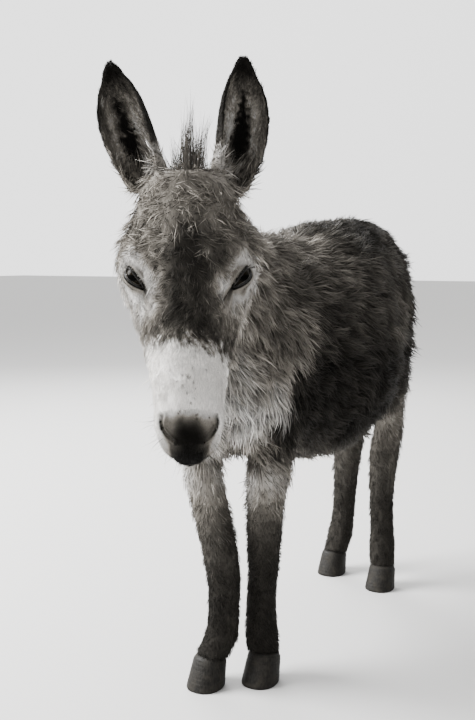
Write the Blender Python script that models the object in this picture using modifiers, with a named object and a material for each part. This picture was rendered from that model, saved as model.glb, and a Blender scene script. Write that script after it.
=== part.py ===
"""A young donkey standing on its four feet, as a still, life-size museum model.

Metres, +Z up. The trunk lies along Y, with the chest towards -Y and the tail towards +Y, and +X is the
donkey's left side. The neck bends and the head turns towards the donkey's left. The solids reach out to
the tips of the coat. The body is modelled whole and then parted with thin cuts into its named parts.
"""

import math
from dataclasses import dataclass

import bmesh
import bpy
import numpy as np
from mathutils import Matrix, Vector

# ---- driving dimensions ---------------------------------------------------------------------------
CROUP_HEIGHT = 0.918  # top of the coat over the hips
WITHERS_HEIGHT = 0.876  # top of the coat over the shoulder blades
BELLY_HEIGHT = 0.369  # lowest tips of the belly coat
HEAD_LENGTH = 0.446  # poll to the end of the lips
HEAD_TURN = math.radians(34.1)  # towards the donkey's left, from straight ahead
HEAD_PITCH = math.radians(25.0)  # how far the face line leans forward of the vertical
POLL = Vector((0.132, -0.461, 0.952))
EYE_RADIUS = 0.0205
EYE_ALONG = 0.391  # a share of the head's length, then metres
EYE_SIDE = 0.0665
EYE_FRONT = -0.030
HOOF_HEIGHT = 0.052
CUT = 0.0004  # width of the cut between neighbouring parts
CLEARANCE = 0.0003  # between a piece and the body that it stands on
RING_SIDES = 32
RINGS_PER_SLICE = 5
VOXEL = 0.0042
BODY_TRIANGLES = 4900
HEAD_REACH = 0.26  # how far from the head's middle the finer mesh goes
HEAD_WEIGHT = 0.008  # how strongly the finer mesh is kept there

LEFT = Vector((1.0, 0.0, 0.0))
BACK = Vector((0.0, 1.0, 0.0))


# ---- colours --------------------------------------------------------------------------------------
@dataclass(frozen=True)
class Finish:
    """A Principled finish: its colour, roughness and metallic value."""

    colour: tuple
    roughness: float
    metallic: float = 0.0


FINISHES = {
    "coat": Finish((0.115, 0.098, 0.084), 0.9),
    "face_coat": Finish((0.150, 0.130, 0.112), 0.9),
    "leg_coat": Finish((0.165, 0.145, 0.125), 0.9),
    "ear_coat": Finish((0.060, 0.052, 0.046), 0.9),
    "mane_hair": Finish((0.050, 0.042, 0.036), 0.85),
    "hoof_horn": Finish((0.045, 0.040, 0.036), 0.55),
    "eye": Finish((0.010, 0.008, 0.007), 0.08),
}


def material(slot):
    """The slot's material, made once."""
    made = bpy.data.materials.get(slot)
    if made is None:
        finish = FINISHES[slot]
        made = bpy.data.materials.new(slot)
        made.use_nodes = True
        shader = made.node_tree.nodes["Principled BSDF"]
        shader.inputs["Base Color"].default_value = (*finish.colour, 1.0)
        shader.inputs["Roughness"].default_value = finish.roughness
        shader.inputs["Metallic"].default_value = finish.metallic
    return made


# ---- slices of the body ---------------------------------------------------------------------------
@dataclass(frozen=True)
class TrunkSlice:
    """A cross-section of the trunk at one place along Y."""

    name: str
    y: float
    top: float
    bottom: float
    half_width: float
    peak: float = 2.0  # 2 is a round back, less is a sharper one


@dataclass(frozen=True)
class NeckSlice:
    """A cross-section of the neck between its crest and its throat."""

    name: str
    crest: tuple
    throat: tuple
    half_width: float


@dataclass(frozen=True)
class HeadSlice:
    """A cross-section of the head: a share of its length along it, and reaches from the face line."""

    name: str
    along: float
    top: float
    bottom: float
    half_width: float
    widest: float  # where it is widest, from the face line
    flat_top: float = 2.2
    flat_bottom: float = 2.2


@dataclass(frozen=True)
class LegSlice:
    """A level cross-section of a leg at one height."""

    name: str
    z: float
    x: float
    y: float
    lateral: float
    front: float
    back: float


TRUNK = (
    TrunkSlice("breast tip", -0.262, 0.655, 0.535, 0.050),
    TrunkSlice("breast", -0.240, 0.715, 0.490, 0.090),
    TrunkSlice("point of shoulder", -0.180, 0.800, 0.446, 0.122),
    TrunkSlice("shoulder", -0.090, 0.858, 0.430, 0.142, 1.9),
    TrunkSlice("withers", -0.005, WITHERS_HEIGHT, 0.414, 0.156, 1.8),
    TrunkSlice("girth", 0.080, 0.871, 0.390, 0.178, 1.9),
    TrunkSlice("barrel", 0.180, 0.895, BELLY_HEIGHT, 0.196),
    TrunkSlice("loin", 0.280, 0.908, 0.380, 0.192),
    TrunkSlice("flank", 0.370, 0.916, 0.420, 0.168),
    TrunkSlice("croup", 0.450, CROUP_HEIGHT, 0.474, 0.139),
    TrunkSlice("rump", 0.530, 0.910, 0.530, 0.120),
    TrunkSlice("tail head", 0.590, 0.874, 0.580, 0.092),
    TrunkSlice("buttock", 0.620, 0.800, 0.640, 0.046),
)

NECK = (
    NeckSlice("root", (0.000, 0.030, 0.855), (0.000, -0.170, 0.480), 0.120),
    NeckSlice("base", (0.006, -0.080, 0.884), (0.006, -0.262, 0.580), 0.108),
    NeckSlice("middle", (0.036, -0.200, 0.908), (0.022, -0.298, 0.664), 0.090),
    NeckSlice("upper", (0.078, -0.320, 0.930), (0.040, -0.318, 0.722), 0.078),
    NeckSlice("throatlatch", (0.116, -0.420, 0.944), (0.066, -0.350, 0.770), 0.070),
    NeckSlice("behind the jaw", (0.130, -0.452, 0.938), (0.100, -0.392, 0.800), 0.062),
)

HEAD = (
    HeadSlice("nape", -0.030, -0.026, -0.090, 0.036, -0.060, 2.0, 2.0),
    HeadSlice("poll", 0.000, 0.006, -0.125, 0.064, -0.055, 2.0, 2.0),
    HeadSlice("temples", 0.100, 0.024, -0.165, 0.081, -0.050, 2.2, 2.0),
    HeadSlice("forehead", 0.220, 0.031, -0.188, 0.097, -0.055, 2.3, 2.0),
    HeadSlice("brow", 0.300, 0.031, -0.190, 0.099, -0.060, 2.3, 2.0),
    HeadSlice("eye", 0.380, 0.028, -0.186, 0.090, -0.070, 2.3, 2.0),
    HeadSlice("cheek", 0.450, 0.022, -0.176, 0.082, -0.082, 2.3, 2.1),
    HeadSlice("cheek front", 0.540, 0.012, -0.156, 0.0715, -0.082, 2.2, 2.2),
    HeadSlice("bridge", 0.640, 0.003, -0.130, 0.0605, -0.070, 2.2, 2.2),
    HeadSlice("nose", 0.740, -0.003, -0.110, 0.0520, -0.058, 2.3, 2.2),
    HeadSlice("nostrils", 0.835, -0.008, -0.100, 0.0470, -0.052, 2.5, 2.3),
    HeadSlice("nose tip", 0.895, -0.017, -0.099, 0.0430, -0.057, 2.5, 2.3),
    HeadSlice("lips", 0.942, -0.032, -0.096, 0.0360, -0.064, 2.3, 2.3),
    HeadSlice("lip end", 0.976, -0.056, -0.086, 0.0170, -0.070, 2.0, 2.0),
)

FORELEG_RIGHT = (
    LegSlice("elbow", 0.560, -0.080, -0.085, 0.052, 0.080, 0.075),
    LegSlice("upper forearm", 0.470, -0.071, -0.118, 0.048, 0.060, 0.062),
    LegSlice("forearm", 0.405, -0.057, -0.136, 0.044, 0.047, 0.050),
    LegSlice("lower forearm", 0.320, -0.022, -0.155, 0.0395, 0.041, 0.040),
    LegSlice("knee", 0.250, 0.006, -0.169, 0.0365, 0.040, 0.036),
    LegSlice("below knee", 0.205, 0.009, -0.165, 0.0345, 0.034, 0.037),
    LegSlice("cannon", 0.155, 0.009, -0.165, 0.0320, 0.031, 0.036),
    LegSlice("above fetlock", 0.112, 0.007, -0.166, 0.0325, 0.032, 0.038),
    LegSlice("fetlock", 0.084, 0.003, -0.170, 0.0350, 0.034, 0.040),
    LegSlice("pastern", 0.056, -0.007, -0.181, 0.0340, 0.034, 0.036),
    LegSlice("coronet", 0.036, -0.010, -0.186, 0.0340, 0.036, 0.034),
)

FORELEG_LEFT = (
    LegSlice("elbow", 0.560, 0.080, -0.055, 0.054, 0.080, 0.075),
    LegSlice("upper forearm", 0.470, 0.070, -0.078, 0.052, 0.062, 0.064),
    LegSlice("forearm", 0.405, 0.063, -0.088, 0.048, 0.052, 0.054),
    LegSlice("lower forearm", 0.320, 0.057, -0.090, 0.0395, 0.041, 0.041),
    LegSlice("knee", 0.250, 0.058, -0.095, 0.0350, 0.039, 0.038),
    LegSlice("below knee", 0.205, 0.056, -0.094, 0.0320, 0.033, 0.036),
    LegSlice("cannon", 0.155, 0.053, -0.098, 0.0305, 0.030, 0.035),
    LegSlice("above fetlock", 0.112, 0.053, -0.098, 0.0315, 0.031, 0.037),
    LegSlice("fetlock", 0.084, 0.057, -0.102, 0.0340, 0.034, 0.040),
    LegSlice("pastern", 0.056, 0.066, -0.112, 0.0335, 0.034, 0.036),
    LegSlice("coronet", 0.036, 0.071, -0.117, 0.0335, 0.036, 0.034),
)

HIND_LEG = (
    LegSlice("hip", 0.800, 0.060, 0.465, 0.058, 0.105, 0.098),
    LegSlice("thigh", 0.700, 0.066, 0.478, 0.066, 0.128, 0.118),
    LegSlice("stifle", 0.600, 0.073, 0.472, 0.063, 0.126, 0.112),
    LegSlice("upper gaskin", 0.520, 0.076, 0.486, 0.053, 0.094, 0.094),
    LegSlice("gaskin", 0.450, 0.070, 0.508, 0.045, 0.062, 0.064),
    LegSlice("point of hock", 0.392, 0.064, 0.526, 0.0405, 0.044, 0.056),
    LegSlice("hock", 0.345, 0.061, 0.524, 0.0410, 0.045, 0.045),
    LegSlice("below hock", 0.285, 0.059, 0.516, 0.0370, 0.037, 0.039),
    LegSlice("cannon", 0.205, 0.060, 0.510, 0.0315, 0.031, 0.035),
    LegSlice("above fetlock", 0.135, 0.064, 0.506, 0.0310, 0.031, 0.036),
    LegSlice("fetlock", 0.104, 0.067, 0.502, 0.0335, 0.034, 0.039),
    LegSlice("pastern", 0.066, 0.072, 0.490, 0.0315, 0.033, 0.035),
    LegSlice("coronet", 0.036, 0.076, 0.483, 0.0320, 0.035, 0.033),
)

HIND_LEFT_SHIFT = Vector((0.004, -0.014, 0.0))
HIND_RIGHT_SHIFT = Vector((0.006, 0.026, 0.0))

TAIL = (
    ((0.0, 0.560, 0.832), 0.040, 0.046),
    ((0.0, 0.612, 0.822), 0.034, 0.038),
    ((0.002, 0.652, 0.770), 0.029, 0.030),
    ((0.004, 0.668, 0.700), 0.026, 0.026),
    ((0.006, 0.668, 0.620), 0.024, 0.024),
    ((0.008, 0.661, 0.560), 0.025, 0.024),
    ((0.010, 0.655, 0.500), 0.033, 0.030),
    ((0.012, 0.652, 0.440), 0.036, 0.032),
    ((0.012, 0.652, 0.380), 0.026, 0.024),
    ((0.012, 0.656, 0.335), 0.009, 0.008),
)

HOOF = (
    # height, lateral, toe, heel
    (0.000, 0.0340, 0.0450, 0.0370),
    (0.006, 0.0345, 0.0445, 0.0370),
    (0.028, 0.0330, 0.0400, 0.0350),
    (0.052, 0.0305, 0.0345, 0.0325),
    (0.075, 0.0290, 0.0300, 0.0300),
)


# ---- frames ---------------------------------------------------------------------------------------
FORWARD = Vector((math.sin(HEAD_TURN), -math.cos(HEAD_TURN), 0.0))
UP = Vector((0.0, 0.0, 1.0))
HEAD_SIDE = UP.cross(FORWARD)  # towards the donkey's left
HEAD_DOWN = -UP * math.cos(HEAD_PITCH) + FORWARD * math.sin(HEAD_PITCH)  # from the poll to the lips
HEAD_FRONT = FORWARD * math.cos(HEAD_PITCH) + UP * math.sin(HEAD_PITCH)  # out of the forehead


def on_head(along, side, front):
    """A point of the head: a share of its length down the face, then metres to its left and out of it."""
    return POLL + HEAD_DOWN * (along * HEAD_LENGTH) + HEAD_SIDE * side + HEAD_FRONT * front


# ---- muscles and bones under the coat -------------------------------------------------------------
@dataclass(frozen=True)
class Bump:
    """A soft swelling of the surface, or a hollow where its push is negative."""

    name: str
    centre: Vector
    reach: float
    push: float


# ---- lofts ----------------------------------------------------------------------------------------
@dataclass(frozen=True)
class Ring:
    """One closed section of a loft."""

    centre: Vector
    side: Vector
    up: Vector
    half_width: float
    rise: float
    drop: float
    full_up: float = 2.0
    full_down: float = 2.0

    def numbers(self):
        """The ring as one row of numbers, to be interpolated."""
        sizes = (self.half_width, self.rise, self.drop, self.full_up, self.full_down)
        return [*self.centre, *self.side, *self.up, *sizes]


def eased(knots, rows, steps):
    """Rows of numbers on a smooth curve through the given rows."""
    knots, rows = np.array(knots), np.array(rows)
    slopes = np.gradient(rows, knots, axis=0)
    made = []
    for i in range(len(knots) - 1):
        span = knots[i + 1] - knots[i]
        for t in np.linspace(0.0, 1.0, steps, endpoint=False):
            made.append(
                rows[i] * (1 + 2 * t) * (1 - t) ** 2
                + rows[i + 1] * t * t * (3 - 2 * t)
                + span * t * (1 - t) * (slopes[i] * (1 - t) - slopes[i + 1] * t)
            )
    made.append(rows[-1])
    return np.array(made)


def ring_points(row, sides):
    """The corner points of one ring: a rounded oval whose two halves may differ."""
    centre, side, up = (Vector(row[i : i + 3]) for i in (0, 3, 6))
    half_width, rise, drop, full_up, full_down = row[9:14]
    points = []
    for i in range(sides):
        angle = 2 * math.pi * i / sides
        across, over = math.cos(angle), math.sin(angle)
        power = 2.0 / (full_up if over >= 0 else full_down)
        reach = rise if over >= 0 else drop
        x = math.copysign(abs(across) ** power, across) * half_width
        y = math.copysign(abs(over) ** power, over) * reach
        points.append(centre + side.normalized() * x + up.normalized() * y)
    return points


def loft(mesh, rings, sides=RING_SIDES, steps=RINGS_PER_SLICE):
    """Adds a closed tube through the rings to a bmesh."""
    centres = [ring.centre for ring in rings]
    knots = [0.0]
    for a, b in zip(centres, centres[1:]):
        knots.append(knots[-1] + max((b - a).length, 1e-3))
    rows = eased(knots, [ring.numbers() for ring in rings], steps)
    loops = [[mesh.verts.new(p) for p in ring_points(row, sides)] for row in rows]
    for a, b in zip(loops, loops[1:]):
        for i in range(sides):
            j = (i + 1) % sides
            mesh.faces.new((a[i], a[j], b[j], b[i]))
    mesh.faces.new(reversed(loops[0]))
    mesh.faces.new(loops[-1])


def trunk_rings():
    """The trunk's rings, from breast to buttock."""
    for s in TRUNK:
        widest = s.bottom + 0.44 * (s.top - s.bottom)
        centre = Vector((0.0, s.y, widest))
        yield Ring(centre, LEFT, UP, s.half_width, s.top - widest, widest - s.bottom, s.peak, 2.1)


def neck_rings():
    """The neck's rings, each across its own stretch of the neck."""
    middles = [(Vector(s.crest) + Vector(s.throat)) / 2 for s in NECK]
    for i, s in enumerate(NECK):
        ahead = middles[min(i + 1, len(NECK) - 1)] - middles[max(i - 1, 0)]
        up = Vector(s.crest) - Vector(s.throat)
        side = up.cross(ahead).normalized()
        half = up.length / 2
        yield Ring(middles[i], side, up.normalized(), s.half_width, half, half, 1.7, 2.0)


def head_rings():
    """The head's rings, square to the line of the face."""
    for s in HEAD:
        centre = on_head(s.along, 0.0, s.widest)
        rise, drop = s.top - s.widest, s.widest - s.bottom
        full = (s.flat_top, s.flat_bottom)
        yield Ring(centre, HEAD_SIDE, HEAD_FRONT, s.half_width, rise, drop, *full)


def leg_rings(slices, mirrored=False, shift=Vector()):
    """A leg's level rings. The shift moves the foot, and fades out towards the hip."""
    flip = -1.0 if mirrored else 1.0
    for s in slices:
        fade = min(1.0, max(0.0, (0.60 - s.z) / 0.25))
        centre = Vector((flip * s.x, s.y, s.z)) + shift * fade
        yield Ring(centre, LEFT, -BACK, s.lateral, s.front, s.back)


def tube_rings(rows):
    """Rings of a round tube from (centre, half width, half depth) rows."""
    centres = [Vector(row[0]) for row in rows]
    for i, (_, half_width, half_depth) in enumerate(rows):
        along = centres[min(i + 1, len(rows) - 1)] - centres[max(i - 1, 0)]
        up = LEFT.cross(along).normalized()
        yield Ring(centres[i], LEFT, up, half_width, half_depth, half_depth)


# ---- small helpers --------------------------------------------------------------------------------
def object_of(name, mesh, slot=None):
    """A mesh object made from a bmesh, which is freed."""
    bmesh.ops.recalc_face_normals(mesh, faces=mesh.faces)
    data = bpy.data.meshes.new(name)
    mesh.to_mesh(data)
    mesh.free()
    made = bpy.data.objects.new(name, data)
    bpy.context.scene.collection.objects.link(made)
    if slot:
        data.materials.append(material(slot))
    return made


def baked(source, name):
    """A plain mesh object with the source's modifiers applied; the source is removed."""
    graph = bpy.context.evaluated_depsgraph_get()
    data = bpy.data.meshes.new_from_object(source.evaluated_get(graph))
    made = bpy.data.objects.new(name, data)
    made.matrix_world = source.matrix_world
    bpy.context.scene.collection.objects.link(made)
    bpy.data.objects.remove(source)
    return made


def copy_of(source, name):
    """A second object with its own copy of the mesh."""
    made = bpy.data.objects.new(name, source.data.copy())
    bpy.context.scene.collection.objects.link(made)
    return made


def cut(target, cutter, operation="DIFFERENCE"):
    """The target cut by the cutter, or only what is inside it, as a plain mesh with the same name."""
    modifier = target.modifiers.new("cut", "BOOLEAN")
    modifier.operation = operation
    modifier.object = cutter
    name = target.name
    target.name = name + "_uncut"
    return baked(target, name)


@dataclass(frozen=True)
class Region:
    """A box on the far side of a plane, which marks off one part of the body."""

    point: Vector
    normal: Vector  # from the plane into the part
    side: Vector
    deep: float
    tall: float
    wide: float

    def box(self, name, grown=0.0):
        """The box as an object, with its plane moved back by the growth."""
        normal, side = self.normal.normalized(), self.side.normalized()
        turn = Matrix((side, normal, side.cross(normal))).transposed().to_4x4()
        middle = self.point + normal * (self.deep / 2 - grown)
        mesh = bmesh.new()
        bmesh.ops.create_cube(mesh, size=1.0)
        size = Matrix.Diagonal((self.wide, self.deep, self.tall, 1.0))
        matrix = Matrix.Translation(middle) @ turn @ size
        bmesh.ops.transform(mesh, matrix=matrix, verts=mesh.verts)
        return object_of(name, mesh)


def part_off(body, name, region):
    """Cuts one part off the body and returns it and what is left, with a thin gap between the two."""
    inside, wider = region.box("inside"), region.box("wider", CUT)
    part = cut(copy_of(body, name), inside, "INTERSECT")
    rest = cut(body, wider)
    bpy.data.objects.remove(inside)
    bpy.data.objects.remove(wider)
    return part, rest


def grown_copy(source, name, by):
    """A copy of the mesh moved outwards along its normals."""
    made = copy_of(source, name)
    swell(made, [], by)
    return made


def separate(source, named_points):
    """Splits a mesh into its separate bodies, each named for the point that it is nearest to."""
    mesh = bmesh.new()
    mesh.from_mesh(source.data)
    mesh.verts.index_update()
    left = set(mesh.verts)
    groups = []
    while left:
        todo = [left.pop()]
        found = set(todo)
        while todo:
            near = {v for edge in todo.pop().link_edges for v in edge.verts} - found
            found |= near
            todo.extend(near)
        left -= found
        groups.append(found)
    made = {}
    for name, point in named_points.items():
        nearest = min(groups, key=lambda g: min((v.co - Vector(point)).length for v in g))
        keep = {v.index for v in nearest}
        part = mesh.copy()
        part.verts.index_update()
        spare = [v for v in part.verts if v.index not in keep]
        bmesh.ops.delete(part, geom=spare, context="VERTS")
        made[name] = object_of(name, part)
    mesh.free()
    bpy.data.objects.remove(source)
    return made


# ---- the whole body -------------------------------------------------------------------------------
def body_bumps():
    """The swellings and hollows that the lofts don't give."""
    bumps = []
    for s in (-1.0, 1.0):
        bumps += [
            Bump("shoulder blade", Vector((s * 0.120, -0.070, 0.700)), 0.090, 0.010),
            Bump("point of shoulder", Vector((s * 0.095, -0.205, 0.590)), 0.055, 0.008),
            Bump("haunch", Vector((s * 0.140, 0.500, 0.740)), 0.100, 0.008),
            Bump("flank hollow", Vector((s * 0.165, 0.360, 0.720)), 0.060, -0.012),
            Bump("brow", on_head(0.290, s * 0.080, -0.030), 0.030, 0.0060),
            Bump("front of the eye", on_head(0.392, s * 0.066, -0.008), 0.020, -0.0060),
            Bump("temple hollow", on_head(0.225, s * 0.060, 0.005), 0.024, -0.004),
            Bump("jaw muscle", on_head(0.380, s * 0.064, -0.135), 0.050, 0.010),
            Bump("cheek ridge", on_head(0.500, s * 0.060, -0.055), 0.028, 0.004),
            Bump("side of the nose", on_head(0.660, s * 0.048, -0.030), 0.036, -0.005),
            Bump("nostril wing", on_head(0.860, s * 0.043, -0.030), 0.020, 0.0045),
            Bump("above the nostril", on_head(0.790, s * 0.036, -0.014), 0.016, -0.003),
            Bump("mouth corner", on_head(0.800, s * 0.047, -0.080), 0.016, -0.003),
        ]
    bumps += [
        Bump("chin", on_head(0.905, 0.0, -0.108), 0.022, 0.009),
        Bump("chin groove", on_head(0.800, 0.0, -0.112), 0.026, -0.006),
        Bump("forehead", on_head(0.200, 0.0, 0.032), 0.050, 0.004),
    ]
    return bumps


def swell(obj, bumps, by=0.0):
    """Moves each point of the mesh along its normal, by a fixed step and by the bumps near it."""
    count = len(obj.data.vertices)
    points = np.empty(count * 3)
    normals = np.empty(count * 3)
    obj.data.vertices.foreach_get("co", points)
    obj.data.vertices.foreach_get("normal", normals)
    points, normals = points.reshape(-1, 3), normals.reshape(-1, 3)
    push = np.full(count, by)
    for bump in bumps:
        away = np.linalg.norm(points - np.array(bump.centre), axis=1) / bump.reach
        push += bump.push * np.exp(-away * away)
    obj.data.vertices.foreach_set("co", (points + normals * push[:, None]).ravel())
    obj.data.update()


def whole_body():
    """Trunk, neck, head, legs and dock as one smooth closed mesh."""
    mesh = bmesh.new()
    loft(mesh, list(trunk_rings()))
    loft(mesh, list(neck_rings()))
    loft(mesh, list(head_rings()))
    loft(mesh, list(leg_rings(FORELEG_RIGHT)))
    loft(mesh, list(leg_rings(FORELEG_LEFT)))
    loft(mesh, list(leg_rings(HIND_LEG, shift=HIND_LEFT_SHIFT)))
    loft(mesh, list(leg_rings(HIND_LEG, mirrored=True, shift=HIND_RIGHT_SHIFT)))
    loft(mesh, list(tube_rings(TAIL)))
    body = object_of("body_rough", mesh)
    fused = body.modifiers.new("fuse", "REMESH")
    fused.mode = "VOXEL"
    fused.voxel_size = VOXEL
    smooth = body.modifiers.new("smooth", "SMOOTH")
    smooth.factor = 0.5
    smooth.iterations = 8
    body = baked(body, "body_smooth")
    swell(body, body_bumps())
    return body


def thinned(body, triangles):
    """The body with fewer triangles, most of them left where it curves and on the head."""
    ease = body.vertex_groups.new(name="ease")
    head_middle = on_head(0.55, 0.0, -0.08)
    for v in body.data.vertices:
        on_the_head = (v.co - head_middle).length < HEAD_REACH
        ease.add([v.index], 0.5 if on_the_head else 1.0, "REPLACE")
    fewer = body.modifiers.new("fewer faces", "DECIMATE")
    fewer.ratio = triangles / (2 * len(body.data.polygons))
    fewer.use_collapse_triangulate = True
    fewer.vertex_group = ease.name
    fewer.vertex_group_factor = HEAD_WEIGHT
    return baked(body, "body")


# ---- openings -------------------------------------------------------------------------------------
def surface_point(body, start, towards):
    """Where a ray from inside the body leaves it."""
    hit, place, _, _ = body.ray_cast(start, towards.normalized())
    return place if hit else start


def groove(body, name, starts, towards, half_width, depth):
    """A cutter that follows the skin: a flat tube through the points where the rays leave the body."""
    outside = [surface_point(body, start, way) for start, way in zip(starts, towards)]
    rings = []
    for i, place in enumerate(outside):
        ahead = outside[min(i + 1, len(outside) - 1)] - outside[max(i - 1, 0)]
        up = towards[i].normalized()
        side = up.cross(ahead).normalized()
        end = 0.55 if i in (0, len(outside) - 1) else 1.0
        inward = side.cross(ahead).normalized()
        rings.append(Ring(place, side, inward, half_width * end, depth, depth))
    mesh = bmesh.new()
    loft(mesh, rings, 8, 1)
    return object_of(name, mesh)


NOSTRIL = (
    # along the head, to its side, out of the face
    (0.832, 0.0365, -0.020),
    (0.862, 0.0385, -0.023),
    (0.892, 0.0330, -0.023),
    (0.915, 0.0220, -0.023),
)


def open_nostrils(body):
    """Cuts the two comma-shaped nostrils."""
    for s in (-1.0, 1.0):
        starts = [on_head(along, 0.0, -0.052) for along, _, _ in NOSTRIL]
        ends = [on_head(along, s * side, front) for along, side, front in NOSTRIL]
        towards = [end - start for start, end in zip(starts, ends)]
        cutter = groove(body, "nostril", starts, towards, 0.0036, 0.009)
        body = cut(body, cutter)
        bpy.data.objects.remove(cutter)
    return body


def part_lips(body):
    """Cuts the line of the mouth round the front of the muzzle."""
    starts, towards = [], []
    for i in range(11):
        angle = math.radians(-95.0 + i * 19.0)
        start = on_head(0.840, 0.0, -0.076)
        way = HEAD_SIDE * math.sin(angle) + HEAD_DOWN * math.cos(angle)
        starts.append(start)
        towards.append(way - HEAD_FRONT * 0.04)
    cutter = groove(body, "mouth", starts, towards, 0.0014, 0.0050)
    body = cut(body, cutter)
    bpy.data.objects.remove(cutter)
    return body


def eye_place(s):
    """The middle of the eyeball on one side."""
    return on_head(EYE_ALONG, s * EYE_SIDE, EYE_FRONT)


def ball(name, centre, radius, segments=12, rings=8):
    """A sphere."""
    mesh = bmesh.new()
    bmesh.ops.create_uvsphere(mesh, u_segments=segments, v_segments=rings, radius=radius)
    bmesh.ops.translate(mesh, vec=centre, verts=mesh.verts)
    return object_of(name, mesh)


def set_eyes(body):
    """Cuts the two sockets and returns the body and the eyes."""
    eyes = []
    for s, name in ((-1.0, "eye_right"), (1.0, "eye_left")):
        socket = ball("socket", eye_place(s), EYE_RADIUS + CLEARANCE + 0.0002)
        body = cut(body, socket)
        bpy.data.objects.remove(socket)
        eyes.append(dress(ball(name, eye_place(s), EYE_RADIUS), "eye"))
    return body, eyes


# ---- pieces that stand on the body ----------------------------------------------------------------
@dataclass(frozen=True)
class Ear:
    """An ear: a cupped leaf from its root to its tip."""

    name: str
    root: Vector
    tip: Vector
    opening: Vector
    bow: Vector

    def point(self, up, angle, radius):
        """A point of the cup at one height, round from the middle of its back."""
        straight = self.tip - self.root
        axis = self.root + straight * up + self.bow * (4 * up * (1 - up))
        tilt = self.opening.dot(straight) / straight.length_squared
        facing = (self.opening - straight * tilt).normalized()
        across = straight.cross(facing).normalized()
        return axis + across * (radius * math.sin(angle)) - facing * (radius * math.cos(angle))

    def build(self):
        """The ear as one closed shell."""
        mesh = bmesh.new()
        walls = []
        for outward in (0.5, -0.5):
            rows = []
            for up, half_width, half_angle, wall in EAR_ROWS:
                angles = np.radians(np.linspace(-half_angle, half_angle, EAR_COLUMNS))
                radius = half_width / math.sin(math.radians(min(half_angle, 90.0)))
                radius += outward * wall
                rows.append([mesh.verts.new(self.point(up, a, radius)) for a in angles])
            walls.append(rows)
        outer, inner = walls
        for rows in walls:
            for low, high in zip(rows, rows[1:]):
                for j in range(EAR_COLUMNS - 1):
                    mesh.faces.new((low[j], low[j + 1], high[j + 1], high[j]))
        for i in range(len(EAR_ROWS) - 1):
            for j in (0, EAR_COLUMNS - 1):
                mesh.faces.new((outer[i][j], outer[i + 1][j], inner[i + 1][j], inner[i][j]))
        for i in (0, len(EAR_ROWS) - 1):
            for j in range(EAR_COLUMNS - 1):
                mesh.faces.new((outer[i][j], outer[i][j + 1], inner[i][j + 1], inner[i][j]))
        return object_of(self.name, mesh)


EAR_COLUMNS = 8
EAR_ROWS = (
    # height, half width, half angle of the cup, wall
    (0.00, 0.0270, 150.0, 0.0065),
    (0.13, 0.0330, 136.0, 0.0065),
    (0.27, 0.0365, 120.0, 0.0065),
    (0.41, 0.0375, 108.0, 0.0065),
    (0.55, 0.0375, 98.0, 0.0062),
    (0.68, 0.0348, 92.0, 0.0058),
    (0.80, 0.0275, 86.0, 0.0052),
    (0.90, 0.0165, 80.0, 0.0046),
    (0.965, 0.0085, 75.0, 0.0040),
    (1.00, 0.0040, 70.0, 0.0034),
)


def beside_poll(side, forward, height):
    """A point by its distance to the left of the poll, ahead of it, and its height above the floor."""
    level = Vector((POLL.x, POLL.y, height))
    return level + HEAD_SIDE * side + FORWARD * forward


EARS = (
    Ear(
        "ear_right",
        beside_poll(-0.053, -0.030, 0.918),
        beside_poll(-0.1165, -0.030, 1.101),
        FORWARD * 0.95 - HEAD_SIDE * 0.31,
        HEAD_SIDE * -0.009,
    ),
    Ear(
        "ear_left",
        beside_poll(0.060, -0.030, 0.918),
        beside_poll(0.0860, -0.030, 1.113),
        FORWARD * 0.95 + HEAD_SIDE * 0.31,
        HEAD_SIDE * 0.012,
    ),
)

MANE = (
    # point of the crest, height of the hair above it
    ((0.000, -0.040, 0.874), 0.004),
    ((0.002, -0.070, 0.881), 0.014),
    ((0.008, -0.100, 0.888), 0.030),
    ((0.018, -0.140, 0.895), 0.044),
    ((0.028, -0.180, 0.903), 0.041),
    ((0.040, -0.220, 0.911), 0.047),
    ((0.054, -0.260, 0.918), 0.043),
    ((0.068, -0.300, 0.925), 0.049),
    ((0.083, -0.340, 0.932), 0.045),
    ((0.098, -0.380, 0.938), 0.052),
    ((0.112, -0.412, 0.943), 0.050),
    ((0.122, -0.436, 0.947), 0.056),
)

FORELOCK = (
    # root and tip: to the left of the poll, ahead of it, height; then the root's radius
    ((0.002, -0.006, 0.935), (0.003, 0.004, 1.046), 0.012),
    ((0.012, -0.004, 0.930), (0.028, 0.008, 1.022), 0.011),
    ((-0.004, 0.000, 0.930), (-0.012, 0.010, 0.996), 0.010),
    ((0.008, 0.012, 0.930), (0.013, 0.028, 0.990), 0.014),
    ((-0.002, 0.020, 0.915), (-0.006, 0.044, 0.962), 0.017),
    ((0.008, 0.028, 0.905), (0.014, 0.056, 0.943), 0.016),
    ((0.002, -0.024, 0.935), (0.003, -0.028, 1.006), 0.012),
)


def mane():
    """The upright mane as one ridge along the crest."""
    rings = []
    points = [Vector(point) for point, _ in MANE]
    for i, (_, height) in enumerate(MANE):
        ahead = points[min(i + 1, len(points) - 1)] - points[max(i - 1, 0)]
        side = ahead.cross(UP).normalized()
        up = side.cross(ahead).normalized()
        rings.append(Ring(points[i], side, up, 0.015, height, 0.018, 1.7, 2.0))
    mesh = bmesh.new()
    loft(mesh, rings, 10, 1)
    return object_of("mane", mesh)


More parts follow.
